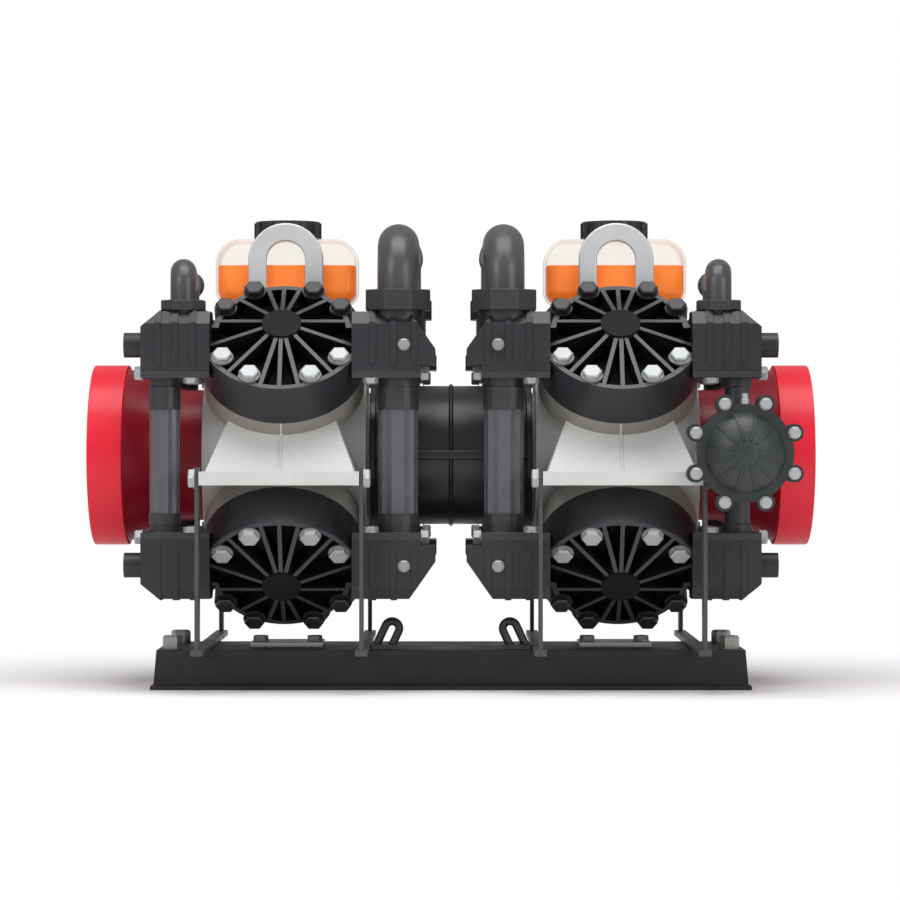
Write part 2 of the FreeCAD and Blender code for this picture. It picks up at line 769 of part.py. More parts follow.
def head(depth, height):
    """Cover, both valve arms and all their hollows; only upper arms carry pipes."""
    pieces = [
        tipped(head_cover()),
        valve_arm(-1, OUTER_ARM_END, OUTER_SLOPE),
        valve_arm(1, INNER_ARM_END, INNER_SLOPE),
        rod(PLUG_R, V(1 - OUTER_ARM_END, ARM_Y, PLUG_Z),
            V(-OUTER_ARM_END - PLUG_LENGTH, ARM_Y, PLUG_Z)),
    ]
    pipe_x = DELIVERY_PIPE_X if depth == "front" else REAR_DELIVERY_X
    ways = passages(pipe_x)
    if height == "upper":
        pieces.append(union_boss(-pipe_x, DELIVERY_PIPE_R, DELIVERY_NUT_H))
        pieces.append(union_boss(SUCTION_TUBE_X, SUCTION_PIPE_R, SUCTION_NUT_H))
    else:
        blind = block(-OUTER_ARM_END, INNER_ARM_END, ARM_Y - ARM_DEPTH, ARM_Y + ARM_DEPTH,
                      JOINT_Z - 2, ARM_TOP - ARM_CHAMFER)
        ways = [way.common(blind) for way in ways]
    flange_room = disc(FLANGE_R + HEAD_CLEARANCE, FLANGE_START - FLANGE_T, FLANGE_FACE)
    chamber = disc(CHAMBER_R, FLANGE_FACE - 1, FLANGE_FACE + CHAMBER_DEPTH)
    hollows = [tipped(flange_room), tipped(chamber)]
    hollows += arm_hollows(-1) + arm_hollows(1) + ways
    return fused(pieces).cut(fused(hollows)).removeSplitter()


def valve_cage(near):
    """Cage with a seat, open at the far end, for flow towards -X."""
    outer = VALVE_R - SEAT_GAP
    x = near - VALVE_SEAT_T
    end = near - VALVE_LENGTH
    seat = rod(outer, V(near, 0, 0), V(x, 0, 0)).cut(rod(VALVE_SEAT_R, V(near, 0, 0), V(x, 0, 0)))
    wall = rod(outer, V(x, 0, 0), V(end, 0, 0))
    wall = wall.cut(rod(outer - VALVE_WALL, V(x, 0, 0), V(end + VALVE_SEAT_T, 0, 0)))
    wall = wall.cut(rod(VALVE_SEAT_R - 2, V(x, 0, 0), V(end, 0, 0)))
    cage = seat.fuse(wall)
    cage.translate(V(0, VALVE_Y, VALVE_Z))
    return cage


def valve_disc(near):
    """Disc resting on its seat."""
    x = near - VALVE_SEAT_T
    return rod(VALVE_DISC_R, V(x, VALVE_Y, VALVE_Z), V(x - VALVE_DISC_T, VALVE_Y, VALVE_Z))


def manifold(x, radius):
    """Upright tube with a flange and two rings, front side of the pump."""
    way = 1 if x > 0 else -1
    tube = rod(radius, V(x, ARM_Y, -JOINT_Z), V(x, ARM_Y, JOINT_Z))
    pieces = [tube]
    for z in (-JOINT_Z, JOINT_Z - JOINT_FLANGE_T):
        pieces.append(block(way * ARM_START, way * JOINT_END, ARM_Y - ARM_DEPTH / 2,
                            ARM_Y + ARM_DEPTH / 2, z, z + JOINT_FLANGE_T))
    inner_face = JOINT_Z - JOINT_FLANGE_T
    for z in (-inner_face, inner_face - TUBE_RING_H):
        pieces.append(rod(radius + TUBE_RING_RISE, V(x, ARM_Y, z), V(x, ARM_Y, z + TUBE_RING_H)))
    bore = rod(radius - TUBE_WALL, V(x, ARM_Y, -JOINT_Z), V(x, ARM_Y, JOINT_Z))
    room = tipped(disc(FLANGE_R + HEAD_CLEARANCE, FLANGE_START - FLANGE_T, HEAD_TOP + 1))
    return fused(pieces).cut(bore).cut(room).cut(mirrored(room, height="lower"))


def bridge_way(x, rear_x, radius, bend_r, centre_z, foot_z, grow):
    """Solid run of a pipe from the front foot over to the rear one and its tail."""
    front = V(x, ARM_Y, foot_z)
    knee = V(x, ARM_Y, centre_z - bend_r)
    tee = V(rear_x, -ARM_Y, centre_z)
    along = V(rear_x - x, -2 * ARM_Y, 0).normalize()
    hub = knee + along * bend_r
    circle = Part.Face(Part.Wire(Part.makeCircle(radius, knee, Z_AXIS)))
    bend = circle.revolve(hub, along.cross(Z_AXIS).negative(), 90)
    start = hub + V(0, 0, bend_r)
    return [
        rod(radius, front, knee),
        bend,
        rod(radius, start, tee),
        Part.makeSphere(radius + grow, tee),
        rod(radius, tee, V(rear_x, HOSE_TAIL_Y, centre_z)),
        rod(radius, V(rear_x, -ARM_Y, foot_z), tee),
    ]


def barbs(x, radius, centre_z):
    """Barbs on a hose tail, behind its plain tip."""
    start = HOSE_TAIL_Y - HOSE_TAIL_TIP - BARB_COUNT * BARB_PITCH
    return [Part.makeCone(radius + BARB_RISE, radius, BARB_PITCH,
                          V(x, start + i * BARB_PITCH, centre_z), Y_AXIS)
            for i in range(BARB_COUNT)]


def bridge_pipe(x, rear_x, radius, top, bend_r, nut_h):
    """Pipe over the upper heads with two flanged feet, a tee and a hose tail."""
    centre_z = top - radius
    foot_z = UNION_Z + nut_h / 2
    pieces = bridge_way(x, rear_x, radius, bend_r, centre_z, foot_z, TEE_BALL_RISE)
    for foot in (V(x, ARM_Y, foot_z), V(rear_x, -ARM_Y, foot_z)):
        pieces.append(rod(radius + UNION_LIP, foot, foot + V(0, 0, nut_h / 4)))
    pieces += barbs(rear_x, radius, centre_z)
    bore = bridge_way(x, rear_x, radius - TUBE_WALL, bend_r, centre_z, foot_z, 1)
    return fused(pieces).cut(fused(bore))


def union_nut(x, radius, flats, height):
    """Eight-sided nut that holds a pipe foot on its boss."""
    foot = V(x, ARM_Y, UNION_Z)
    nut = regular_prism(flats, NUT_SIDES, foot, V(0, 0, height))
    wide = rod(radius + UNION_LIP + SEAT_GAP, foot, foot + V(0, 0, height * 3 / 4))
    narrow = rod(radius + SEAT_GAP, foot, foot + V(0, 0, height))
    return nut.cut(wide).cut(narrow)


def rounded_tank(inset):
    """Tank body with soft edges and round shoulders, smaller by an inset all round."""
    body = block(-TANK_HALF_X + inset, TANK_HALF_X - inset,
                 -TANK_HALF_Y + inset, TANK_HALF_Y - inset,
                 DECK_TOP + inset, DECK_TOP + TANK_H - inset)
    middle = DECK_TOP + TANK_H / 2
    shoulders = [edge for edge in body.Edges if edge.BoundBox.ZMin > middle]
    body = body.makeFillet(TANK_SHOULDER - inset, shoulders)
    rest = [edge for edge in body.Edges
            if edge.BoundBox.ZMax < middle or isinstance(edge.Curve, Part.Line)
            and edge.BoundBox.ZLength > 1]
    return body.makeFillet(TANK_FILLET - inset, rest)


def oil_tank():
    """Thin-walled tank with its filler neck."""
    roof = DECK_TOP + TANK_H
    neck = disc(NECK_R, roof - TANK_WALL, roof + NECK_H)
    shell = rounded_tank(0).fuse(neck).cut(rounded_tank(TANK_WALL))
    return shell.cut(disc(NECK_R - NECK_WALL, roof - 2 * TANK_WALL, roof + NECK_H))


def tank_oil():
    """Oil in the tank up to its level."""
    inside = rounded_tank(TANK_WALL + SOFT_GAP)
    level = block(-TANK_HALF_X, TANK_HALF_X, -TANK_HALF_Y, TANK_HALF_Y, DECK_TOP, OIL_LEVEL)
    return inside.common(level)


def tank_cap():
    """Screw cap with grips round its skirt."""
    roof = DECK_TOP + TANK_H
    low = roof + CAP_LIFT
    cap = disc(CAP_R, low, low + CAP_H)
    grips = []
    for i in range(CAP_GRIPS):
        grip = block(CAP_R - 1, CAP_R + CAP_GRIP / 2, -CAP_GRIP, CAP_GRIP, low, low + CAP_H - 1)
        grip.rotate(CENTRE, Z_AXIS, 360.0 * i / CAP_GRIPS)
        grips.append(grip)
    hole = disc(NECK_R + RUNNING_GAP, low, roof + NECK_H)
    return fused([cap] + grips).cut(hole)


def lifting_eye():
    """Arched lifting bracket in front of the tank."""
    front = -DECK_HALF_Y - EYE_T
    centre_z = EYE_TOP - EYE_OUTER_R
    start = V(0, front, centre_z)
    end = V(0, -DECK_HALF_Y, centre_z)
    outer = rod(EYE_OUTER_R, start, end)
    outer = outer.fuse(block(-EYE_OUTER_R, EYE_OUTER_R, front, -DECK_HALF_Y, EYE_FOOT, centre_z))
    inner = rod(EYE_INNER_R, start, end)
    inner = inner.fuse(block(-EYE_INNER_R, EYE_INNER_R, front, -DECK_HALF_Y,
                             DECK_TOP + TANK_FILLET, centre_z))
    return outer.cut(inner).removeSplitter()


def pto_guard():
    """Open guard round the outer splined end, clamped on the bearing cover."""
    small = COVER_R + SEAT_GAP
    foot = CASE_HALF
    drum_in = PTO_DRUM_R - GUARD_WALL
    step_in = PTO_DRUM_START + GUARD_WALL
    profile = [
        (-foot, 0, small),
        (-PTO_NECK_END, 0, small),
        (-step_in, 0, drum_in - PTO_STEP),
        (-step_in, 0, drum_in),
        (-PTO_MOUTH, 0, drum_in),
        (-PTO_MOUTH, 0, PTO_DRUM_R),
        (-PTO_DRUM_START, 0, PTO_DRUM_R),
        (-PTO_DRUM_START, 0, PTO_DRUM_R - PTO_STEP),
        (-PTO_NECK_END, 0, small + GUARD_WALL),
        (-foot, 0, small + GUARD_WALL),
    ]
    return spun(profile, CENTRE, X_AXIS)


def guard_half():
    """Upper half shell round the coupling, with seam lugs and ribs."""
    outer = COUPLING_GUARD_R
    inner = outer - GUARD_WALL
    lip_r = COVER_R + SEAT_GAP
    end = COUPLING_GUARD_HALF
    lip = end - GUARD_LIP
    profile = [
        (-end, 0, lip_r), (-lip, 0, lip_r), (-lip, 0, inner), (lip, 0, inner),
        (lip, 0, lip_r), (end, 0, lip_r), (end, 0, outer), (-end, 0, outer),
    ]
    shell = spun([(x, y, z) for x, y, z in profile], CENTRE, X_AXIS)
    upper = block(-end, end, -outer - SEAM_LUG_Y, outer + SEAM_LUG_Y, 0, outer + SEAM_LUG_Y)
    pieces = [shell.common(upper)]
    for way in (-1, 1):
        pieces.append(block(-lip, lip, way * (outer - 1), way * (outer + SEAM_LUG_Y),
                            0, SEAM_LUG_T))
    for x in (-lip, -GUARD_RIB_T / 2, lip - GUARD_RIB_T):
        rib = ring_along_x(outer + GUARD_RIB_RISE, outer - 1, x, x + GUARD_RIB_T)
        pieces.append(rib.common(upper))
    return fused(pieces)


def coupling_guard():
    """Two half shells that meet on the shaft level."""
    upper = guard_half()
    lower = upper.mirror(CENTRE, Z_AXIS)
    halves = [upper.copy(), lower.copy()]
    for half in halves:
        half.translate(V(0, 0, SHAFT_Z))
    return halves


def coupling_sleeve():
    """Splined sleeve that joins both shafts."""
    sleeve = rod(COUPLING_R, V(-COUPLING_HALF, 0, 0), V(COUPLING_HALF, 0, 0))
    sleeve = sleeve.cut(spline(-COUPLING_HALF, COUPLING_HALF, SPLINE_GAP))
    sleeve.translate(V(0, 0, SHAFT_Z))
    return sleeve


def rail_form(inset, top):
    """Sloping-sided bar that gives the rail its outside or its hollow."""
    low = RAIL_DRAFT
    corners = ((-1, -1), (1, -1), (1, 1), (-1, 1))
    wires = []
    for z, spread in ((0, low), (top, 0)):
        x = RAIL_HALF + spread - inset
        y = RAIL_HALF_Y + spread - inset
        points = [V(sx * x, sy * y, z) for sx, sy in corners]
        wires.append(Part.makePolygon(points + points[:1]))
    return Part.makeLoft(wires, True, True)


def base_holes():
    """Four holes for floor bolts in the side lips."""
    y = RAIL_HALF_Y + LIP_SIDE / 2 + RAIL_DRAFT
    return [V(sx * BASE_HOLE_X, sy * y, 0) for sx in (-1, 1) for sy in (-1, 1)]


def base_channel():
    """Pressed rail with its open side down and a lip all round."""
    x = RAIL_HALF + LIP_END
    y = RAIL_HALF_Y + RAIL_DRAFT + LIP_SIDE
    lips = block(-x, x, -y, y, 0, RAIL_WALL)
    body = rail_form(0, RAIL_TOP).fuse(lips)
    body = body.cut(rail_form(RAIL_WALL, RAIL_TOP - RAIL_WALL))
    for spot in base_holes():
        body = body.cut(rod(BASE_HOLE_R, spot, spot + V(0, 0, RAIL_WALL)))
    return body


def bar_places():
    """X of the four cross bars, which are also those of the upright bars."""
    reach = EAR_HALF + LEG_T / 2
    return [side * PUMP_X + way * reach for side in (-1, 1) for way in (-1, 1)]


def cross_bar(x):
    """Flat bar across the rail that carries two upright bars."""
    end = LEG_Y + LEG_W / 2
    return block(x - BAR_W / 2, x + BAR_W / 2, -end, end, RAIL_TOP, RAIL_TOP + BAR_H)


def support_leg(x, way):
    """Upright flat bar from a cross bar to the end of an ear."""
    half = LEG_W / 2
    top = SHAFT_Z + EAR_TOP + LEG_TOP_RISE
    return block(x - LEG_T / 2, x + LEG_T / 2, way * LEG_Y - half, way * LEG_Y + half,
                 RAIL_TOP + BAR_H, top)


def ear_bolts():
    """Bolts through the upright bars into the ends of the ears."""
    z = SHAFT_Z + EAR_TOP - EAR_T / 2
    y = (LEG_Y - LEG_W / 2 + EAR_FRONT) / 2
    bolts = []
    for side in (-1, 1):
        for end in (-1, 1):
            x = side * PUMP_X + end * (EAR_HALF + LEG_T)
            for way in (-1, 1):
                bolts.append(hex_head(M10_FLATS, M10_HEAD, V(x, way * y, z), V(end, 0, 0)))
    return bolts


def cover_bolts():
    """Heads of the eight bolts on each pump head."""
    heads = [hex_head(M10_FLATS, M10_HEAD, V(x, y, HEAD_TOP), V(0, 0, 1))
             for x, y in bolt_spots()]
    return [copy for bolt in heads for copy in everywhere(tipped(bolt))]


def rail_bolts():
    """Heads on the corners of the rail."""
    return [hex_head(M10_FLATS, 2 * M10_HEAD, V(sx * BASE_BOLT_X, sy * BASE_BOLT_Y, RAIL_TOP),
                     V(0, 0, 1)) for sx in (-1, 1) for sy in (-1, 1)]


def joint_bolts():
    """Bolts of the joints between arms and manifold flanges, and the bleed screws."""
    seat = JOINT_Z - JOINT_FLANGE_T
    heads = []
    for way in (-1, 1):
        for depth in (-JOINT_BOLT_HALF, JOINT_BOLT_HALF):
            foot = V(way * JOINT_BOLT_X, ARM_Y + depth, seat)
            heads.append(hex_head(M8_FLATS, M8_HEAD, foot, V(0, 0, -1)))
    for way in (-1, 1):
        foot = V(way * JOINT_END, ARM_Y, JOINT_Z - JOINT_END_DROP)
        heads.append(hex_head(M8_FLATS, JOINT_END_HEAD, foot, V(way, 0, 0)))
    foot = V(BLEED_SCREW_X, ARM_Y - ARM_DEPTH / 2, PLUG_Z)
    heads.append(hex_head(M6_FLATS, M6_HEAD, foot, V(0, -1, 0)))
    return [copy for bolt in heads for copy in everywhere(bolt)]


def foot_plate(side):
    """Plate on the rail under the middle of a pump."""
    x = side * PUMP_X
    return block(x - FOOT_PLATE_X / 2, x + FOOT_PLATE_X / 2, -FOOT_PLATE_Y / 2,
                 FOOT_PLATE_Y / 2, RAIL_TOP, RAIL_TOP + FOOT_PLATE_T)


def foot_bolts(side):
    """Two heads on a foot plate."""
    z = RAIL_TOP + FOOT_PLATE_T
    return [hex_head(M8_FLATS, M8_HEAD, V(side * PUMP_X + way * FOOT_BOLT_SPACING / 2, 0, z),
                     V(0, 0, 1)) for way in (-1, 1)]


def tie_eye(side):
    """Leaning round-steel bow on a small plate, near the front edge of the rail."""
    bottom = V(0, 0, RAIL_TOP)
    seat = bottom + V(0, 0, TIE_PLATE_T)
    top = seat + V(0, 0, TIE_BOW_H)
    side_way = V(TIE_BOW_R, 0, 0)
    sunk = V(0, 0, TIE_ROD_R)
    ring = Part.Face(Part.Wire(Part.makeCircle(TIE_ROD_R, top + side_way, Z_AXIS)))
    bow = fused([
        rod(TIE_ROD_R, seat - side_way - sunk, top - side_way),
        rod(TIE_ROD_R, seat + side_way - sunk, top + side_way),
        ring.revolve(top, V(0, -1, 0), 180),
    ])
    bow.rotate(seat, Y_AXIS, -side * TIE_LEAN)
    plate = block(-TIE_PLATE_X / 2, TIE_PLATE_X / 2, -TIE_PLATE_Y / 2, TIE_PLATE_Y / 2,
                  bottom.z, seat.z)
    above = block(-TIE_PLATE_X, TIE_PLATE_X, -TIE_PLATE_Y, TIE_PLATE_Y, bottom.z, SHAFT_Z)
    eye = plate.fuse(bow.common(above))
    eye.translate(V(side * TIE_EYE_X, -TIE_EYE_Y, 0))
    return eye.removeSplitter()


def damper_centre():
    """Point on the damper's axis, level with the tube it feeds."""
    return V(PUMP_X + DELIVERY_TUBE_X, ARM_Y, SHAFT_Z + DAMPER_RISE)


def damper_rod(radius, y0, y1):
    """Round bar along the damper's axis."""
    centre = damper_centre()
    return rod(radius, V(centre.x, y0, centre.z), V(centre.x, y1, centre.z))


def damper_lugs():
    """Bolt places on the damper's axis, as offsets in X and Z."""
    turns = [2 * math.pi * (i + 0.5) / DAMPER_BOLTS for i in range(DAMPER_BOLTS)]
    return [V(DAMPER_PCD_R * math.cos(a), 0, DAMPER_PCD_R * math.sin(a)) for a in turns]


def damper_flange(y0, y1):
    """Round flange with a lug for each bolt."""
    centre = damper_centre()
    shapes = [damper_rod(DAMPER_R, y0, y1)]
    for spot in damper_lugs():
        lug = rod(DAMPER_LUG_R, V(centre.x, y0, centre.z), V(centre.x, y1, centre.z))
        lug.translate(spot)
        shapes.append(lug)
    return fused(shapes)


def damper_body():
    """Neck on the delivery tube that widens to the membrane flange."""
    face = -DAMPER_NECK_END - DAMPER_BODY_T
    neck = damper_rod(DAMPER_NECK_R, ARM_Y, -DAMPER_NECK_END)
    flange = damper_flange(-DAMPER_NECK_END, face)
    bore = damper_rod(DELIVERY_TUBE_R, ARM_Y, face)
    hollow = damper_rod(DOME_R - DOME_WALL, face + DAMPER_BODY_T / 2, face)
    tube = rod(DELIVERY_TUBE_R + SEAT_GAP, damper_centre() - V(0, 0, JOINT_Z),
               damper_centre() + V(0, 0, JOINT_Z))
    return fused([neck, flange]).cut(fused([bore, hollow, tube]))


def damper_membrane():
    """Flat membrane clamped between body and dome."""
    face = -DAMPER_NECK_END - DAMPER_BODY_T
    return damper_rod(DOME_R, face, face - MEMBRANE_T)


def damper_dome():
    """Domed gas cover with a recess for the membrane's edge and radial ribs."""
    centre = damper_centre()
    face = -DAMPER_NECK_END - DAMPER_BODY_T
    front = face - DOME_FLANGE_T
    flange = damper_flange(face, front)
    crown_r = (DOME_R ** 2 + DOME_RISE ** 2) / (2 * DOME_RISE)
    pole = V(centre.x, front - DOME_RISE + crown_r, centre.z)
    ball = Part.makeSphere(crown_r, pole)
    cap = ball.common(damper_rod(DOME_R, face, front - DOME_RISE - 1))
    gas = Part.makeSphere(crown_r - DOME_WALL, pole)
    gas = gas.common(damper_rod(DOME_R - DOME_WALL, face - MEMBRANE_T, front - DOME_RISE))
    recess = damper_rod(DOME_R + SEAT_GAP, face, face - MEMBRANE_T)
    return flange.fuse(cap).cut(gas).cut(recess)


def air_valve():
    """Charging valve that stands up from the rim of the dome."""
    centre = damper_centre()
    y = -DAMPER_NECK_END - DAMPER_BODY_T - DOME_FLANGE_T / 2
    foot = V(centre.x, y, centre.z + DAMPER_R)
    stem = rod(AIR_VALVE_R, foot, foot + V(0, 0, AIR_VALVE_L / 2))
    cap = rod(AIR_VALVE_R * 3 / 4, foot + V(0, 0, AIR_VALVE_L / 2), foot + V(0, 0, AIR_VALVE_L))
    return stem.fuse(cap)


def damper_bolts():
    """Ring of heads round the dome."""
    centre = damper_centre()
    seat = V(centre.x, -DAMPER_NECK_END - DAMPER_BODY_T - DOME_FLANGE_T, centre.z)
    return [hex_head(M6_FLATS, M6_HEAD, seat + spot, V(0, -1, 0)) for spot in damper_lugs()]


def save_pump(side):
    """Writes the pieces that each pump has for itself."""
    save(f"{side}_crankcase", placed(crankcase(), side))
    save(f"{side}_crankshaft", placed(crankshaft(), side))
    save(f"{side}_slipper_ring", placed(slipper_ring(), side))
    for depth, height in CORNERS:
        corner = f"{depth}_{height}"
        save(f"{side}_head_{corner}", placed(mirrored(head(depth, height), depth, height), side))
        stroke = REST_STROKE if height == "upper" else -REST_STROKE
        pieces = [piston(stroke), gudgeon_pin(stroke), connecting_rod(stroke),
                  clamp_disc(stroke), clamp_screw(stroke)]
        save(f"{side}_piston_{corner}",
             *[placed(mirrored(tipped(p), depth, height), side) for p in pieces])
    for name, x, radius in (
        ("suction", SUCTION_TUBE_X, SUCTION_TUBE_R),
        ("delivery", -DELIVERY_TUBE_X, DELIVERY_TUBE_R),
    ):
        tube = manifold(x, radius)
        save(f"{side}_{name}_manifolds",
             *[placed(mirrored(tube, depth), side) for depth in ("front", "rear")])
    save(f"{side}_suction_pipe",
         placed(bridge_pipe(SUCTION_TUBE_X, SUCTION_TUBE_X, SUCTION_PIPE_R, SUCTION_PIPE_TOP,
                            SUCTION_BEND_R, SUCTION_NUT_H), side))
    save(f"{side}_delivery_pipe",
         placed(bridge_pipe(-DELIVERY_PIPE_X, -REAR_DELIVERY_X, DELIVERY_PIPE_R,
                            DELIVERY_PIPE_TOP, DELIVERY_BEND_R, DELIVERY_NUT_H), side))
    save(f"{side}_oil_tank", placed(oil_tank(), side))
    save(f"{side}_tank_cap", placed(tank_cap(), side))
    save(f"{side}_pto_guard", placed(pto_guard(), side))
    discs = [valve_disc(x) for x in (-VALVE_NEAR, VALVE_NEAR + VALVE_LENGTH)]
    save(f"{side}_valve_discs",
         *[placed(mirrored(d, *corner), side) for d in discs for corner in CORNERS])


def diaphragms():
    """All eight diaphragms at rest."""
    shapes = []
    for side in SIDES:
        for depth, height in CORNERS:
            stroke = REST_STROKE if height == "upper" else -REST_STROKE
            shapes.append(placed(mirrored(tipped(diaphragm(stroke)), depth, height), side))
    return shapes


def both_ends(maker):
    """Copies of a shaft fitting at both ends of both crankcases."""
    return [placed(maker(end), side) for side in SIDES for end in (-1, 1)]


def union_nuts():
    """Nuts of all four bridge pipes."""
    nuts = []
    for depth, delivery_x in (("front", DELIVERY_PIPE_X), ("rear", REAR_DELIVERY_X)):
        nuts.append(mirrored(union_nut(SUCTION_TUBE_X, SUCTION_PIPE_R, SUCTION_NUT_FLATS,
                                       SUCTION_NUT_H), depth))
        nuts.append(mirrored(union_nut(-delivery_x, DELIVERY_PIPE_R, DELIVERY_NUT_FLATS,
                                       DELIVERY_NUT_H), depth))
    return [placed(nut, side) for nut in nuts for side in SIDES]


for pump_side in SIDES:
    save_pump(pump_side)

cages = [valve_cage(-VALVE_NEAR), valve_cage(VALVE_NEAR + VALVE_LENGTH)]
save("valve_cages", *[copy for cage in cages for copy in everywhere(cage)])
save("diaphragms", *diaphragms())
save("cylinder_sleeves", *everywhere(tipped(cylinder_sleeve())))
save("shaft_bearings", *both_ends(bearing))
save("bearing_covers", *both_ends(bearing_cover))
save("shaft_seals", *both_ends(shaft_seal))
save("union_nuts", *union_nuts())
save("tank_oil", *[placed(tank_oil(), side) for side in SIDES])
save("lifting_eyes", *[placed(lifting_eye(), side) for side in SIDES])
save("coupling_sleeve", coupling_sleeve())
save("coupling_guard", *coupling_guard())
save("base_channel", base_channel())
save("cross_bars", *[cross_bar(x) for x in bar_places()])
save("support_legs", *[support_leg(x, way) for x in bar_places() for way in (-1, 1)])
save("m10_bolts", *cover_bolts(), *ear_bolts(), *rail_bolts())
save("small_bolts", *joint_bolts(), *foot_bolts(-1), *foot_bolts(1), *damper_bolts())
save("foot_plates", *[foot_plate(side) for side in (-1, 1)])
save("tie_down_eyes", *[tie_eye(side) for side in (-1, 1)])
save("damper_body", damper_body())
save("damper_membrane", damper_membrane())
save("damper_dome", damper_dome())
save("air_valve", air_valve())
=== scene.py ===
"""Looks of the tandem piston diaphragm pump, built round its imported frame."""
import json
import math

import bmesh
import bpy
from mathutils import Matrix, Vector
from mathutils.bvhtree import BVHTree

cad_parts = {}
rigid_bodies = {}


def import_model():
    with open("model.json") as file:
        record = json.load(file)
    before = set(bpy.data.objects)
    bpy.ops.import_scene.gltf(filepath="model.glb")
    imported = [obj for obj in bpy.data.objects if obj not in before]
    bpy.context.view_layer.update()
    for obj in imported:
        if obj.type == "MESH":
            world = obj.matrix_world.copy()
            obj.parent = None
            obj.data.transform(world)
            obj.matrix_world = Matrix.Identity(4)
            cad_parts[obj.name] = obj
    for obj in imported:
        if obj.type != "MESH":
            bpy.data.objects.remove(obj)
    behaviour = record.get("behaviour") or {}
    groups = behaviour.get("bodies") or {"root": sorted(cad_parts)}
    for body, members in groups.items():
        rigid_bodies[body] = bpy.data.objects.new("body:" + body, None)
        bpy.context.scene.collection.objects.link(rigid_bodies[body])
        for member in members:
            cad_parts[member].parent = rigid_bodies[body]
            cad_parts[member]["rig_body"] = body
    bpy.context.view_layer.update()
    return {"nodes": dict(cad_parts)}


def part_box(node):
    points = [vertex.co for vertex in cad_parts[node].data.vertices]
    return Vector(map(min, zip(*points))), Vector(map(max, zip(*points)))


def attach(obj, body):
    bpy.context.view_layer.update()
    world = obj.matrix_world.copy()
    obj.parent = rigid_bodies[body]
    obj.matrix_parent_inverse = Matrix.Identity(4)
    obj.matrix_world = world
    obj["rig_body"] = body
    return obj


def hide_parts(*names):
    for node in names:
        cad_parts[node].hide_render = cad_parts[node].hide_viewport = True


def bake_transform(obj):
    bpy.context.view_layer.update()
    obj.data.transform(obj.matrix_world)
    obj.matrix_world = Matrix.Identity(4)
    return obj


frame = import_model()
MM = 0.001

# Base rail. One sheet of steel pressed into a deep channel that stands open side
# down on an outward lip, welded at its corners and powder coated black.
RAIL_EDGE = 1.2 * MM
COAT_PEEL = 2.0 * MM
DRIFT = 40.0 * MM
WELD_WITHIN = 0.004 * MM
FLAT_WITHIN = math.radians(0.6)
ROUND_FROM = math.radians(35)
SMOOTH_TO = math.radians(38)


def linear(hex_colour):
    """Turns a written colour into the linear numbers that a shader takes."""
    parts = [int(hex_colour[i:i + 2], 16) / 255 for i in (1, 3, 5)]
    return [c / 12.92 if c <= 0.04045 else ((c + 0.055) / 1.055) ** 2.4 for c in parts] + [1.0]


def node(tree, kind, inputs=(), **settings):
    """Adds one node with its settings, and fills or links its inputs."""
    made = tree.nodes.new(kind)
    for name, value in settings.items():
        setattr(made, name, value)
    for name, value in dict(inputs).items():
        if isinstance(value, bpy.types.NodeSocket):
            tree.links.new(value, made.inputs[name])
        else:
            made.inputs[name].default_value = value
    return made


def blank_material(name):
    """New material with an empty shader tree."""
    made = bpy.data.materials.new(name)
    made.use_nodes = True
    made.node_tree.nodes.clear()
    return made, made.node_tree


def finish_of(name, grain, depth, colour, spread, shine, shine_spread, **fixed):
    """Shader for a solid finish: grain in the surface, and a slow drift in colour and gloss.

    grain is the pattern's size in metres and depth its height; a real grain finer than a
    pixel, about 1 mm, is drawn as coarse as it needs to show. colour and spread are the two
    written colours between which it drifts, shine and shine_spread the roughness.
    """
    made, tree = blank_material(name)
    place = node(tree, "ShaderNodeTexCoord").outputs["Object"]
    fine = node(tree, "ShaderNodeTexNoise",
                {"Vector": place, "Scale": 1 / grain, "Detail": 3.0, "Roughness": 0.6})
    slow = node(tree, "ShaderNodeTexNoise",
                {"Vector": place, "Scale": 1 / DRIFT, "Detail": 4.0, "Roughness": 0.65})
    tone = node(tree, "ShaderNodeMix", {"Factor": slow.outputs["Fac"]}, data_type="RGBA")
    tone.inputs["A"].default_value = linear(colour)
    tone.inputs["B"].default_value = linear(spread)
    gloss = node(tree, "ShaderNodeMapRange",
                 {"Value": slow.outputs["Fac"], "From Min": 0.3, "From Max": 0.7,
                  "To Min": shine, "To Max": shine_spread})
    bump = node(tree, "ShaderNodeBump",
                {"Height": fine.outputs["Fac"], "Strength": 1.0, "Distance": depth})
    shader = node(tree, "ShaderNodeBsdfPrincipled",
                  {"Base Color": tone.outputs["Result"], "Roughness": gloss.outputs["Result"],
                   "Normal": bump.outputs["Normal"], **fixed})
    node(tree, "ShaderNodeOutputMaterial", {"Surface": shader.outputs["BSDF"]})
    return made


def merged(name):
    """Copy of a CAD piece with its loose triangles joined into flat faces."""
    form = bmesh.new()
    form.from_mesh(frame["nodes"][name].data)
    bmesh.ops.remove_doubles(form, verts=form.verts, dist=WELD_WITHIN)
    bmesh.ops.dissolve_limit(form, angle_limit=FLAT_WITHIN, verts=form.verts,
                             edges=form.edges)
    return form


def body_of(name):
    """The moving body that a CAD piece belongs to."""
    return frame["nodes"][name]["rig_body"]


def settle(piece, name):
    """Gives a piece the CAD piece's body and place, and hides the CAD piece."""
    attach(piece, body_of(name))
    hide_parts(name)


def add_object(name, mesh):
    """Puts a mesh into the scene."""
    piece = bpy.data.objects.new(name, mesh)
    bpy.context.scene.collection.objects.link(piece)
    return piece


def applied(piece):
    """Turns live modifiers into plain mesh."""
    shape = piece.evaluated_get(bpy.context.evaluated_depsgraph_get())
    mesh = bpy.data.meshes.new_from_object(shape)
    piece.modifiers.clear()
    piece.data = mesh


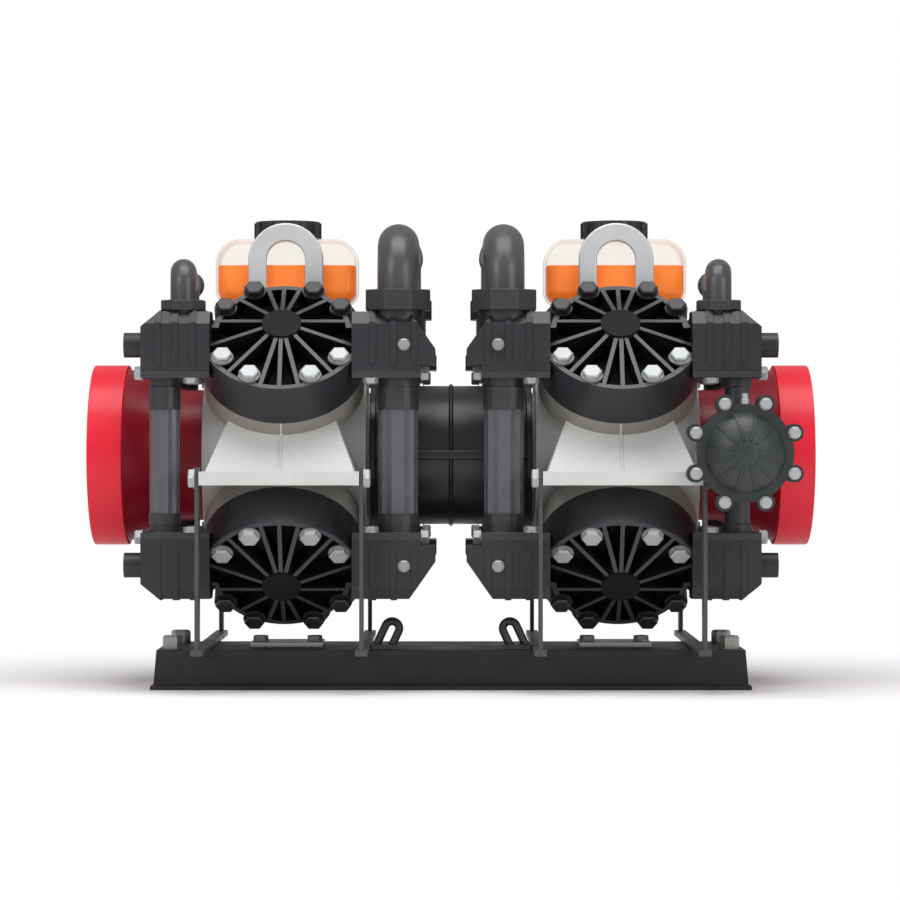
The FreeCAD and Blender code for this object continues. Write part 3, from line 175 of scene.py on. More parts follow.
def edged(name, title, edge, *finishes, choose=None, cuts=()):
    """CAD piece with its sharp edges rounded, as a mould or a coat leaves them.

    choose picks one of the finishes for a face by its middle; cuts are the places along X
    where the finish changes, so that no face crosses one.
    """
    form = merged(name)
    for at in cuts:
        bmesh.ops.bisect_plane(form, geom=form.verts[:] + form.edges[:] + form.faces[:],
                               plane_co=(at, 0, 0), plane_no=(1, 0, 0))
    for face in form.faces:
        face.material_index = choose(face.calc_center_median()) if choose else 0
    mesh = bpy.data.meshes.new(title)
    form.to_mesh(mesh)
    form.free()
    piece = add_object(title, mesh)
    for finish in finishes:
        mesh.materials.append(finish)
    round_off = piece.modifiers.new("edges", "BEVEL")
    round_off.width = edge
    round_off.segments = 2
    round_off.limit_method = "ANGLE"
    round_off.angle_limit = ROUND_FROM
    round_off.use_clamp_overlap = True
    applied(piece)
    piece.data.polygons.foreach_set("use_smooth", [True] * len(piece.data.polygons))
    piece.data.set_sharp_from_angle(angle=SMOOTH_TO)
    weigh = piece.modifiers.new("normals", "WEIGHTED_NORMAL")
    weigh.keep_sharp = True
    applied(piece)
    settle(piece, name)


# Near black and even, with the faint peel of baked powder in its broad soft highlights.
black_coat = finish_of("powder_coated_steel", COAT_PEEL, 0.05 * MM, "#202022", "#2b2b2d",
                       0.40, 0.55, **{"Specular IOR Level": 0.40})
edged("base_channel", "base_rail", RAIL_EDGE, black_coat)

# Cross bars, upright bars and foot plates. Flat bar, cut, drilled and welded, in a worn
# black coat; the plates under the pumps are bare galvanised sheet.
BAR_EDGE = 0.8 * MM
UPRIGHT_EDGE = 0.7 * MM
PLATE_EDGE = 0.6 * MM
BRUSH_MARK = 3.0 * MM
SPANGLE = 6.0 * MM

# A thin coat brushed on: greyer than the rail, with slow waves in its sheen.
bar_coat = finish_of("brushed_black_coat", BRUSH_MARK, 0.04 * MM, "#3a3a3c", "#4c4c4e",
                     0.35, 0.50, **{"Specular IOR Level": 0.5})
# Bright bare zinc whose large crystals show as flecks that differ a little in gloss.
galvanised = finish_of("galvanised_sheet", SPANGLE, 0.03 * MM, "#c4c6c7", "#dcdddd",
                       0.30, 0.45, Metallic=0.7)
edged("cross_bars", "cross_bars", BAR_EDGE, bar_coat)
edged("support_legs", "upright_bars", UPRIGHT_EDGE, bar_coat)
edged("foot_plates", "foot_plates", PLATE_EDGE, galvanised)

# Crankcases and bearing covers. Sand-cast aluminium, blasted to a pale even grey, with
# a darker grey on its joint flanges, the same darker grey as painted shade on its barrel
# walls, and a thin seam where the two halves of the mould met.
PUMP_X = 163.0 * MM
SHAFT_Z = 228.0 * MM
BARREL_R = 62.0 * MM
FLANGE_R = 78.0 * MM
FLANGE_FROM = 96.0 * MM
ROUND_SLACK = 1.0 * MM
CASE_EDGE = 1.2 * MM
BEARING_COVER_EDGE = 0.8 * MM
SEAM_HALF = 0.9 * MM
SEAM_PROUD = 0.7 * MM
SEAM_RISES = range(-12, 44, 2)
BEAD_SUNK = 0.3 * MM
BEAD_CROWN = 0.6
OUTSIDE = 400.0 * MM

# Blasting leaves the castings pale, even and dull, with a fine pitted grain.
pale_cast = finish_of("blasted_cast_aluminium", 1.6 * MM, 0.12 * MM, "#c4c4c2", "#d5d5d3",
                      0.55, 0.68, Metallic=0.10)
# A warmer and darker grey, mottled, with a slight metal sheen: on the flange bands, and as
# painted shade on the barrel walls beside the webs.
darker_cast_and_shade = finish_of("darker_cast_aluminium_and_shade", 1.2 * MM, 0.16 * MM, "#7f7c76", "#a29e96",
                     0.48, 0.62, Metallic=0.30)


def unit_place(spot):
    """Where a point lies on its head's own axis: how far along it, and how far off it."""
    across = abs(spot.x) - PUMP_X
    deep, high = abs(spot.y), abs(spot.z - SHAFT_Z)
    along = (deep + high) * math.sqrt(0.5)
    off = math.hypot(across, (deep - high) * math.sqrt(0.5))
    return along, off


def cast_zone(spot):
    """Flange bands, and the barrel walls as painted shade, are darker than the
    blasted webs and drum.
    """
    along, off = unit_place(spot)
    band = along > FLANGE_FROM - ROUND_SLACK and abs(off - FLANGE_R) < ROUND_SLACK
    collar = abs(along - FLANGE_FROM) < ROUND_SLACK and off > BARREL_R
    barrel = abs(off - BARREL_R) < ROUND_SLACK and along < FLANGE_FROM
    return 1 if band or collar or barrel else 0


for side in ("left", "right"):
    edged(f"{side}_crankcase", f"{side}_crankcase_casting", CASE_EDGE, pale_cast, darker_cast_and_shade,
          choose=cast_zone)
edged("bearing_covers", "bearing_covers", BEARING_COVER_EDGE, pale_cast)


def surface_run(name, starts, aim):
    """Points and normals where straight looks from the starts meet a CAD piece."""
    form = merged(name)
    seen = BVHTree.FromBMesh(form)
    form.free()
    met = [seen.ray_cast(start, aim)[:2] for start in starts]
    return [(spot, normal) for spot, normal in met if spot is not None]


def bead(title, rows, half, proud, material, body):
    """Low ridge lying along rows of surface points."""
    form = bmesh.new()
    for run, side_way in rows:
        rings = []
        for spot, normal in run:
            low = spot - normal * BEAD_SUNK
            crown = side_way * half * BEAD_CROWN
            rings.append([form.verts.new(point) for point in (
                low - side_way * half, spot - crown + normal * proud,
                spot + crown + normal * proud, low + side_way * half)])
        for near, far in zip(rings, rings[1:]):
            for i in range(4):
                j = (i + 1) % 4
                form.faces.new((near[i], near[j], far[j], far[i]))
        form.faces.new(rings[0])
        form.faces.new(list(reversed(rings[-1])))
    bmesh.ops.recalc_face_normals(form, faces=form.faces)
    mesh = bpy.data.meshes.new(title)
    form.to_mesh(mesh)
    form.free()
    mesh.materials.append(material)
    piece = add_object(title, mesh)
    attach(piece, body)


seams = []
for way in (-1, 1):
    for face in (-1, 1):
        starts = [Vector((way * PUMP_X, face * OUTSIDE, SHAFT_Z + rise * MM))
                  for rise in SEAM_RISES]
        side = "left" if way < 0 else "right"
        run = surface_run(f"{side}_crankcase", starts, Vector((0, -face, 0)))
        seams.append((run, Vector((1, 0, 0))))
bead("crankcase_seams", seams, SEAM_HALF, SEAM_PROUD, pale_cast, body_of("left_crankcase"))

# Pump heads. Thick covers cast with ribs from a hub to the rim, two valve arms each,
# painted satin black, with a flat near black in the pockets and on the hub as painted shade,
# and a greyer paint on the rib and rim tops and the joint flanges as painted highlight.
POCKET_FLOOR = 150.0 * MM
COVER_FACE = 166.4 * MM
POCKET_R = 72.0 * MM
HUB_R = 20.0 * MM
COVER_R = 80.0 * MM
JOINT_FROM = 68.0 * MM
JOINT_TOP = 88.6 * MM
HEAD_EDGE = 1.1 * MM
CORNERS = ("front_upper", "front_lower", "rear_upper", "rear_lower")

# Satin black over a casting: soft highlights, broken up by the grain beneath.
head_skin = finish_of("black_head_paint", 1.5 * MM, 0.10 * MM, "#212125", "#2f2f34",
                      0.32, 0.48, **{"Specular IOR Level": 0.42})
# The same paint in a greyer colour, with a clearer gloss: painted highlight on the rib and
# rim tops and the joint flanges.
highlight_skin = finish_of("head_paint_painted_highlight", 1.5 * MM, 0.10 * MM, "#2e2e33", "#3f3f45",
                     0.30, 0.44, **{"Specular IOR Level": 0.5})
# The same paint flat and nearly black: painted shade in the pockets and on the hub, so that
# they read deep.
shade_skin = finish_of("head_paint_painted_shade", 1.5 * MM, 0.08 * MM, "#0c0c10", "#131318",
                        0.55, 0.70, **{"Specular IOR Level": 0.18})


def head_zone(spot):
    """Painted shade on pockets and hub, painted highlight on rib and rim tops and joint
    flanges, and the plain outside of a head.
    """
    along, off = unit_place(spot)
    if off < POCKET_R and POCKET_FLOOR < along < COVER_FACE or off < HUB_R:
        return 2
    joint = abs(spot.z - SHAFT_Z) < JOINT_TOP and abs(abs(spot.x) - PUMP_X) > JOINT_FROM
    return 1 if joint or along >= COVER_FACE and off < COVER_R else 0


for side in ("left", "right"):
    for corner in CORNERS:
        edged(f"{side}_head_{corner}", f"{side}_{corner}_head", HEAD_EDGE,
              head_skin, highlight_skin, shade_skin, choose=head_zone)

# Pulsation damper. A cast body and a domed cover on the right pump's delivery side, the
# dome stiffened by low rays round a boss, and weathered to a mottled grey green.
DOME_RAYS = 12
RAY_HALF = 1.6 * MM
RAY_PROUD = 1.3 * MM
RAY_REACHES = range(12, 37, 2)
FRONTWARD = -0.2
DAMPER_EDGE = 0.9 * MM
MOTTLE = 7.0 * MM

# Black paint weathered outdoors: grey green blotches, each with its own gloss.
dome_skin = finish_of("weathered_damper_paint", MOTTLE, 0.20 * MM, "#1b1d1f", "#3a3f3e",
                      0.30, 0.50, **{"Specular IOR Level": 0.45})
edged("damper_body", "damper_body", DAMPER_EDGE, head_skin)
edged("damper_dome", "damper_dome", DAMPER_EDGE, dome_skin)
low, high = (Vector(corner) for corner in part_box("damper_dome"))
boss = (low + high) / 2
rays = []
for turn in range(DOME_RAYS):
    angle = math.tau * (turn + 0.5) / DOME_RAYS
    out = Vector((math.cos(angle), 0, math.sin(angle)))
    starts = [Vector((boss.x, -OUTSIDE, boss.z)) + out * reach * MM for reach in RAY_REACHES]
    run = [(spot, normal) for spot, normal in
           surface_run("damper_dome", starts, Vector((0, 1, 0))) if normal.y < FRONTWARD]
    rays.append((run, Vector((-out.z, 0, out.x))))
bead("damper_rays", rays, RAY_HALF, RAY_PROUD, dome_skin, body_of("damper_dome"))

# Manifold tubes, bridge pipes and union nuts. Glass-filled nylon, moulded black, a
# little greyer and smoother than the heads, with a fluted sleeve round each tall tube.
NYLON_EDGE = 0.9 * MM
NUT_EDGE = 1.2 * MM

# Moulded in a blasted tool: dark grey with an even, soft sheen.
nylon = finish_of("moulded_black_nylon", 1.0 * MM, 0.05 * MM, "#2a2a2d", "#39393d",
                  0.32, 0.46, **{"Specular IOR Level": 0.5})
# The pipes' tool was smoother, so they pick up a brighter, tighter highlight.
pipe_nylon = finish_of("smooth_pipe_nylon", 1.0 * MM, 0.04 * MM, "#38383b", "#4b4b4f",
                       0.28, 0.40, **{"Specular IOR Level": 0.55})
for side in ("left", "right"):
    for part in ("suction_manifolds", "delivery_manifolds"):
        edged(f"{side}_{part}", f"{side}_{part}_nylon", NYLON_EDGE, nylon)
    for part in ("suction_pipe", "delivery_pipe"):
        edged(f"{side}_{part}", f"{side}_{part}_nylon", NYLON_EDGE, pipe_nylon)
edged("union_nuts", "union_nuts", NUT_EDGE, nylon)

FLUTES = 10
FLUTE_DEPTH = 1.4 * MM
SLEEVE_PROUD = 2.1 * MM
SLEEVE_TOP = 44.0 * MM
SLEEVE_BOTTOM = -56.0 * MM
COLLAR_PROUD = 3.0 * MM
COLLAR_FLUTE = 0.15 * MM
COLLAR_SIDES = 20
# Each collar's foot above the shaft, and its height.
COLLARS = ((44.0 * MM, 22.0 * MM), (-67.0 * MM, 11.0 * MM))
ARM_Y = 118.0 * MM
# Each tube's distance from the middle of its pump along the shaft, and its radius.
TUBES = {"suction": (112 * MM, 17 * MM), "delivery": (113 * MM, 12.5 * MM)}

# Glossy nylon, lighter than the other blacks as a painted highlight, so that it shines in
# stripes along its flutes.
highlight_tube_nylon = finish_of("ribbed_tube_nylon_painted_highlight", 1.0 * MM, 0.04 * MM, "#4e4e53", "#616167",
                       0.22, 0.34, **{"Specular IOR Level": 0.6})


def tree_input(tree, name, kind):
    """Adds a named input to a Geometry Nodes tree, and gives its identifier."""
    return tree.interface.new_socket(name, in_out="INPUT", socket_type=kind).identifier


def fitted(title, tree, points, values, body):
    """Runs a tree over points and keeps the result as one plain mesh on a body.

    points is rows of place and turn, and values the tree's inputs by their identifiers.
    """
    mesh = bpy.data.meshes.new(title)
    mesh.from_pydata([place for place, turn in points], [], [])
    turns = mesh.attributes.new("turn", "FLOAT_VECTOR", "POINT")
    turns.data.foreach_set("vector", [value for place, turn in points for value in turn])
    piece = add_object(title, mesh)
    grow = piece.modifiers.new("repeat", "NODES")
    grow.node_group = tree
    for identifier, value in values.items():
        grow[identifier] = value
    applied(piece)
    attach(piece, body)
    return piece


def repeated(title):
    """Starts a tree that puts one shape on every point, and gives it its ends."""
    tree = bpy.data.node_groups.new(title, "GeometryNodeTree")
    tree_input(tree, "Points", "NodeSocketGeometry")
    tree.interface.new_socket("Shape", in_out="OUTPUT", socket_type="NodeSocketGeometry")
    return tree, node(tree, "NodeGroupInput")


def laid_out(tree, given, shape):
    """Ends a tree: the shape on its points, turned, made real, and given its finish."""
    turn = node(tree, "GeometryNodeInputNamedAttribute", {"Name": "turn"},
                data_type="FLOAT_VECTOR")
    laid = node(tree, "GeometryNodeInstanceOnPoints",
                {"Points": given.outputs["Points"], "Instance": shape,
                 "Rotation": turn.outputs["Attribute"]})
    real = node(tree, "GeometryNodeRealizeInstances", {"Geometry": laid.outputs["Instances"]})
    crisp = node(tree, "GeometryNodeSetShadeSmooth",
                 {"Geometry": real.outputs["Geometry"], "Shade Smooth": False})
    coat = node(tree, "GeometryNodeSetMaterial",
                {"Geometry": crisp.outputs["Geometry"], "Material": given.outputs["Finish"]})
    node(tree, "NodeGroupOutput", {"Shape": coat.outputs["Geometry"]})


sleeve_tree, given = repeated("fluted_sleeve")
sleeve_ids = {name: tree_input(sleeve_tree, name, kind) for name, kind in (
    ("Radius", "NodeSocketFloat"), ("Flute", "NodeSocketFloat"), ("Length", "NodeSocketFloat"),
    ("Count", "NodeSocketInt"), ("Finish", "NodeSocketMaterial"))}
valley = node(sleeve_tree, "ShaderNodeMath", {0: given.outputs["Radius"],
                                              1: given.outputs["Flute"]}, operation="SUBTRACT")
ring = node(sleeve_tree, "GeometryNodeCurveStar",
            {"Points": given.outputs["Count"], "Outer Radius": given.outputs["Radius"],
             "Inner Radius": valley.outputs["Value"]})
top = node(sleeve_tree, "ShaderNodeCombineXYZ", {"Z": given.outputs["Length"]})
spine = node(sleeve_tree, "GeometryNodeCurvePrimitiveLine", {"End": top.outputs["Vector"]})
wall = node(sleeve_tree, "GeometryNodeCurveToMesh",
            {"Curve": spine.outputs["Curve"], "Profile Curve": ring.outputs["Curve"],
             "Fill Caps": True})
laid_out(sleeve_tree, given, wall.outputs["Mesh"])


def carries_damper(kind, way, face):
    """The right pump's front delivery tube is hidden by the damper and has no sleeve."""
    return kind == "delivery" and way > 0 and face < 0


for side, way in (("left", -1), ("right", 1)):
    for kind, (off, radius) in TUBES.items():
        manifolds = f"{side}_{kind}_manifolds"
        toward = -way if kind == "suction" else way
        spots = [((way * PUMP_X + toward * off, face * ARM_Y, SHAFT_Z + SLEEVE_BOTTOM),
                  (0, 0, 0)) for face in (-1, 1) if not carries_damper(kind, way, face)]
        fitted(f"{side}_{kind}_sleeves", sleeve_tree, spots,
               {sleeve_ids["Radius"]: radius + SLEEVE_PROUD,
                sleeve_ids["Flute"]: FLUTE_DEPTH,
                sleeve_ids["Length"]: SLEEVE_TOP - SLEEVE_BOTTOM,
                sleeve_ids["Count"]: FLUTES, sleeve_ids["Finish"]: highlight_tube_nylon},
               body_of(manifolds))
        for i, (rise, tall) in enumerate(COLLARS):
            rings = [((x, y, SHAFT_Z + rise), turn) for (x, y, _), turn in spots]
            fitted(f"{side}_{kind}_collars_{i}", sleeve_tree, rings,
                   {sleeve_ids["Radius"]: radius + COLLAR_PROUD,
                    sleeve_ids["Flute"]: COLLAR_FLUTE, sleeve_ids["Length"]: tall,
                    sleeve_ids["Count"]: COLLAR_SIDES, sleeve_ids["Finish"]: nylon},
                   body_of(manifolds))

# Coupling guard. Two moulded half shells screwed together between the pumps, in black
# polypropylene with a soft sheen.
COUPLING_GUARD_EDGE = 1.0 * MM

# Plain and very dark, with one long soft highlight round each shell.
guard_black = finish_of("black_polypropylene", 1.4 * MM, 0.05 * MM, "#1d1d1f", "#2a2a2c",
                        0.30, 0.42, **{"Specular IOR Level": 0.5})
edged("coupling_guard", "coupling_guard_shells", COUPLING_GUARD_EDGE, guard_black)

# Drive shaft guards. Polypropylene drums, moulded bright red with a plain open mouth, on
# a narrower neck, bolted to the crankcase, that is given a deeper red as painted shade.
BAND_FROM = 157.0 * MM
SHAFT_GUARD_EDGE = 1.0 * MM

# Clear strong red, smooth, with broad highlights round the drum.
red_band = finish_of("red_polypropylene", 1.5 * MM, 0.04 * MM, "#e0122c", "#ec1e38",
                     0.30, 0.40, **{"Specular IOR Level": 0.4})
# The same plastic in a wine red, a little duller: painted shade on the neck.
shaded_red_neck = finish_of("red_polypropylene_painted_shade", 1.5 * MM, 0.04 * MM, "#780418", "#930b24",
                     0.32, 0.44, **{"Specular IOR Level": 0.4})
for side in ("left", "right"):
    edged(f"{side}_pto_guard", f"{side}_shaft_guard", SHAFT_GUARD_EDGE, red_band, shaded_red_neck,
          choose=lambda spot: 0 if abs(spot.x) > PUMP_X + BAND_FROM else 1,
          cuts=(-PUMP_X - BAND_FROM, PUMP_X + BAND_FROM))

# Oil tanks, their oil and caps. The tank is blown from natural polyethylene: clear enough
# to show the oil, milky where the wall is seen along its length. The cap has grips.
TANK_EDGE = 1.0 * MM
OIL_EDGE = 0.5 * MM
WALL_RIPPLE = 9.0 * MM
OIL_CLOUD = 24.0 * MM

# Nearly clear face on, and milky white toward its outline, where the eye looks along the
# wall; blow moulding leaves slow ripples in its gloss.
tank_shell, tree = blank_material("natural_polyethylene_tank")
place = node(tree, "ShaderNodeTexCoord").outputs["Object"]
ripple = node(tree, "ShaderNodeTexNoise",
              {"Vector": place, "Scale": 1 / WALL_RIPPLE, "Detail": 2.0})
skin = node(tree, "ShaderNodeBump",
            {"Height": ripple.outputs["Fac"], "Strength": 1.0, "Distance": 0.10 * MM})
clear = node(tree, "ShaderNodeBsdfTransparent", {"Color": linear("#fdfcfa")})
milk = node(tree, "ShaderNodeBsdfPrincipled",
            {"Base Color": linear("#fbfcfa"), "Roughness": 0.22, "IOR": 1.51,
             "Normal": skin.outputs["Normal"]})
along = node(tree, "ShaderNodeLayerWeight", {"Blend": 0.5})
share = node(tree, "ShaderNodeMapRange",
             {"Value": along.outputs["Facing"], "From Min": 0.55, "From Max": 1.0,
              "To Min": 0.025, "To Max": 0.40})
blend = node(tree, "ShaderNodeMixShader", {0: share.outputs["Result"], 1: clear.outputs["BSDF"],
                                           2: milk.outputs["BSDF"]})
node(tree, "ShaderNodeOutputMaterial", {"Surface": blend.outputs["Shader"]})

# Bright orange all through, a little cloudy. A faint glow is painted light, standing in for
# the light that scatters inside it, so that it stays orange behind the tank wall.
orange_oil, tree = blank_material("orange_gear_oil")
place = node(tree, "ShaderNodeTexCoord").outputs["Object"]
swirl = node(tree, "ShaderNodeTexNoise",
             {"Vector": place, "Scale": 1 / OIL_CLOUD, "Detail": 3.0})
depth_tone = node(tree, "ShaderNodeMix", {"Factor": swirl.outputs["Fac"]}, data_type="RGBA")
depth_tone.inputs["A"].default_value = linear("#ff8412")
depth_tone.inputs["B"].default_value = linear("#ff9c30")
body_oil = node(tree, "ShaderNodeBsdfPrincipled",
                {"Base Color": depth_tone.outputs["Result"], "Roughness": 0.12, "IOR": 1.48,
                 "Emission Color": linear("#ff8a20"), "Emission Strength": 0.28})
through_oil = node(tree, "ShaderNodeBsdfTransparent", {"Color": linear("#ffc080")})
cloud = node(tree, "ShaderNodeMapRange", {"Value": swirl.outputs["Fac"], "To Min": 0.80,
                                          "To Max": 0.95})
blend = node(tree, "ShaderNodeMixShader", {0: cloud.outputs["Result"],
                                           1: through_oil.outputs["BSDF"],
                                           2: body_oil.outputs["BSDF"]})
node(tree, "ShaderNodeOutputMaterial", {"Surface": blend.outputs["Shader"]})

# Plain black with a soft sheen, a shade darker than the pipes.
cap_black = finish_of("black_cap_nylon", 1.0 * MM, 0.04 * MM, "#1e1e20", "#2c2c30", 0.34, 0.46)
for side in ("left", "right"):
    edged(f"{side}_oil_tank", f"{side}_tank_shell", TANK_EDGE, tank_shell)
    edged(f"{side}_tank_cap", f"{side}_cap", TANK_EDGE, cap_black)
edged("tank_oil", "oil_fill", OIL_EDGE, orange_oil)

# Lifting eyes. Drop forged steel arches behind each tank's front, blasted and plated to a
# soft pale grey that catches the light on its rounded edge.
LIFTING_EYE_EDGE = 2.0 * MM

# Silver grey and satin, with a light line along the rounded edge.
lift_coat = finish_of("blasted_lifting_eye", 1.4 * MM, 0.08 * MM, "#c2c4c6", "#d8dadc",
                      0.36, 0.50, Metallic=0.35)
edged("lifting_eyes", "lifting_eyes", LIFTING_EYE_EDGE, lift_coat)

# Shafts and everything turning with them. Ground alloy steel, faintly brown where the
# oil has dried on it.
FINE_EDGE = 0.4 * MM

# Bright ground metal: sharp reflections with a slight warm cast.
ground_steel = finish_of("ground_steel", 0.5 * MM, 0.01 * MM, "#a9a7a3", "#bdbbb8", 0.18, 0.30,
                         Metallic=1.0)
for name in ("left_crankshaft", "right_crankshaft", "left_slipper_ring", "right_slipper_ring",
             "shaft_bearings", "coupling_sleeve"):
    edged(name, f"{name}_steel", FINE_EDGE, ground_steel)

# Piston sets and cylinder sleeves. Pistons and rods are die cast in aluminium alloy, with
# a clamp screw on each; the sleeves are pressed into the barrels.

# Clean light metal, smoother and brighter than the blasted crankcase.
piston_cast = finish_of("die_cast_piston", 1.0 * MM, 0.03 * MM, "#b4b5b6", "#c8c9ca",
                        0.32, 0.45, Metallic=0.7)
for side in ("left", "right"):
    for corner in CORNERS:
        edged(f"{side}_piston_{corner}", f"{side}_{corner}_piston_set", FINE_EDGE, piston_cast)
edged("cylinder_sleeves", "cylinder_sleeves", FINE_EDGE, piston_cast)

# Rubber parts: moulded nitrile membranes and shaft seals, matt black. Each pump membrane
# is held by its rim under a head and by its middle on a piston, and bends in between;
# here each is only cut into slices round its middle.
MEMBRANE_AT = 119.0 * MM
MEMBRANE_ROOM = 80.0 * MM
SLICES = 8

# Soft and dull: a black with no highlight to speak of.
rubber = finish_of("nitrile_rubber", 0.8 * MM, 0.03 * MM, "#1c1c1d", "#262627", 0.60, 0.75)
for name in ("shaft_seals", "damper_membrane"):
    edged(name, f"{name}_rubber", FINE_EDGE, rubber)

for side, way in (("left", -1), ("right", 1)):
    for corner in CORNERS:
        deep = -1 if corner.startswith("front") else 1
        high = 1 if corner.endswith("upper") else -1
        axis = Vector((0, deep, high)).normalized()
        middle = Vector((way * PUMP_X, 0, SHAFT_Z)) + axis * MEMBRANE_AT
        across = Vector((1, 0, 0))
        along = axis.cross(across)
        form = merged("diaphragms")
        others = [face for face in form.faces
                  if (face.calc_center_median() - middle).length > MEMBRANE_ROOM]
        bmesh.ops.delete(form, geom=others, context="FACES")
        for turn in range(SLICES // 2):
            angle = math.tau * (turn + 0.5) / SLICES
            normal = across * -math.sin(angle) + along * math.cos(angle)
            bmesh.ops.bisect_plane(form, geom=form.verts[:] + form.edges[:] + form.faces[:],
                                   plane_co=middle, plane_no=normal)
        widest = math.tan(math.pi / SLICES)
        for turn in range(SLICES):
            angle = math.tau * turn / SLICES
            out = across * math.cos(angle) + along * math.sin(angle)
            edge_way = across * -math.sin(angle) + along * math.cos(angle)
            slice_form = form.copy()
            spare = []
            for face in slice_form.faces:
                spot = face.calc_center_median() - middle
                if spot.dot(out) < 0 or abs(spot.dot(edge_way)) > spot.dot(out) * widest:
                    spare.append(face)
            bmesh.ops.delete(slice_form, geom=spare, context="FACES")
            mesh = bpy.data.meshes.new(f"{side}_{corner}_membrane_{turn}")
            slice_form.to_mesh(mesh)
            slice_form.free()
            mesh.materials.append(rubber)
            piece = add_object(mesh.name, mesh)
            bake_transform(piece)
            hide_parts("diaphragms")
        form.free()

# Valves. Each cage is turned from acetal and drops into a valve arm; a loose disc of the
# same plastic lies on its seat.
VALVE_EDGE = 0.3 * MM

# Creamy white, slick and slightly waxy.
acetal = finish_of("acetal_plastic", 1.2 * MM, 0.02 * MM, "#d9d5c8", "#e6e3d8", 0.30, 0.42)
edged("valve_cages", "valve_cages", VALVE_EDGE, acetal)
for side in ("left", "right"):
    edged(f"{side}_valve_discs", f"{side}_valve_discs_acetal", VALVE_EDGE, acetal)

# Bolts. Forged hexagon heads with a turned chamfer and a pressed washer under each. Those
# toward the shaft are bright zinc, and those round the far side of the covers are given a
# dark steel grey as painted shade; the rail's bolts and the bleed screws have weathered grey.
CHAMFER = 0.16
CROWN = 0.84
WASHER = 1.04
WASHER_SHEET = 1.2 * MM
WASHER_SIDES = 20
RAIL_BOLTS_BELOW = 60.0 * MM
BLEED_SCREWS_WITHIN = 60.0 * MM
UPRIGHT = 0.9
LEANING = 0.5
PLATING_DRIFT = 2.5 * MM

# Bright and silvery, each facet catching the light its own way.
zinc = finish_of("bright_zinc_plating", PLATING_DRIFT, 0.02 * MM, "#a2a4a6", "#bfc1c2",
                 0.44, 0.58, Metallic=0.6)
# Near black steel, nearly lost against the heads but for the gloss on its edges: the tie-down
# eyes' own oiled colour, and painted shade on the bolts round the far side of the covers.
dark_steel_and_shade = finish_of("dark_steel_and_bolt_shade", PLATING_DRIFT, 0.02 * MM, "#2c2c2f", "#47474b",
                        0.26, 0.40, Metallic=0.6)
# Zinc gone grey and blotchy outdoors, with little shine left.
dull_zinc = finish_of("weathered_zinc_plating", PLATING_DRIFT, 0.03 * MM, "#8c8c8a", "#b4b4b0",
                      0.34, 0.48, Metallic=0.7)

bolt_tree, given = repeated("hexagon_bolt_heads")
bolt_ids = {name: tree_input(bolt_tree, name, kind) for name, kind in (
    ("Corner", "NodeSocketFloat"), ("Height", "NodeSocketFloat"), ("Chamfer", "NodeSocketFloat"),
    ("Crown", "NodeSocketFloat"), ("Washer", "NodeSocketFloat"), ("Sheet", "NodeSocketFloat"),
    ("Finish", "NodeSocketMaterial"))}
hexagon = node(bolt_tree, "GeometryNodeMeshCone",
               {"Vertices": 6, "Radius Top": given.outputs["Corner"],
                "Radius Bottom": given.outputs["Corner"], "Depth": given.outputs["Height"]})
crown = node(bolt_tree, "GeometryNodeMeshCone",
             {"Vertices": 6, "Radius Top": given.outputs["Crown"],
              "Radius Bottom": given.outputs["Corner"], "Depth": given.outputs["Chamfer"]})
lift = node(bolt_tree, "ShaderNodeCombineXYZ", {"Z": given.outputs["Height"]})
raised = node(bolt_tree, "GeometryNodeTransform", {"Geometry": crown.outputs["Mesh"],
                                                   "Translation": lift.outputs["Vector"]})
washer = node(bolt_tree, "GeometryNodeMeshCone",
              {"Vertices": WASHER_SIDES, "Radius Top": given.outputs["Washer"],
               "Radius Bottom": given.outputs["Washer"], "Depth": given.outputs["Sheet"]})
whole = node(bolt_tree, "GeometryNodeJoinGeometry")
for part in (hexagon.outputs["Mesh"], raised.outputs["Geometry"], washer.outputs["Mesh"]):
    bolt_tree.links.new(part, whole.inputs["Geometry"])
laid_out(bolt_tree, given, whole.outputs["Geometry"])


def hexagons(name):
    """Foot, outward axis, height and flats of every hexagon head in a CAD piece."""
    form = merged(name)
    grouped = set()
    found = []
    for first in form.verts:
        if first in grouped:
            continue
        grouped.add(first)
        group = [first]
        for vert in group:
            for link in vert.link_edges:
                other = link.other_vert(vert)
                if other not in grouped:
                    grouped.add(other)
                    group.append(other)
        faces = dict.fromkeys(face for vert in group for face in vert.link_faces)
        caps = [face for face in faces if len(face.verts) == 6]
        if len(caps) < 2:
            continue
        ends = [cap.calc_center_median() for cap in caps[:2]]
        middle = (ends[0] + ends[1]) / 2
        axis = (ends[1] - ends[0]).normalized()
        home = Vector((math.copysign(PUMP_X, middle.x), 0, SHAFT_Z))
        if abs(axis.z) > UPRIGHT:
            out = Vector((0, 0, 1 if middle.z < SHAFT_Z else -1))
        else:
            out = middle - home
        if axis.dot(out) < 0:
            axis, ends = -axis, [ends[1], ends[0]]
        flats = min((edge.verts[0].co + edge.verts[1].co - 2 * caps[0].calc_center_median()
                     ).length for edge in caps[0].edges)
        found.append((ends[0], axis, (ends[1] - ends[0]).length, flats))
    form.free()
    return found


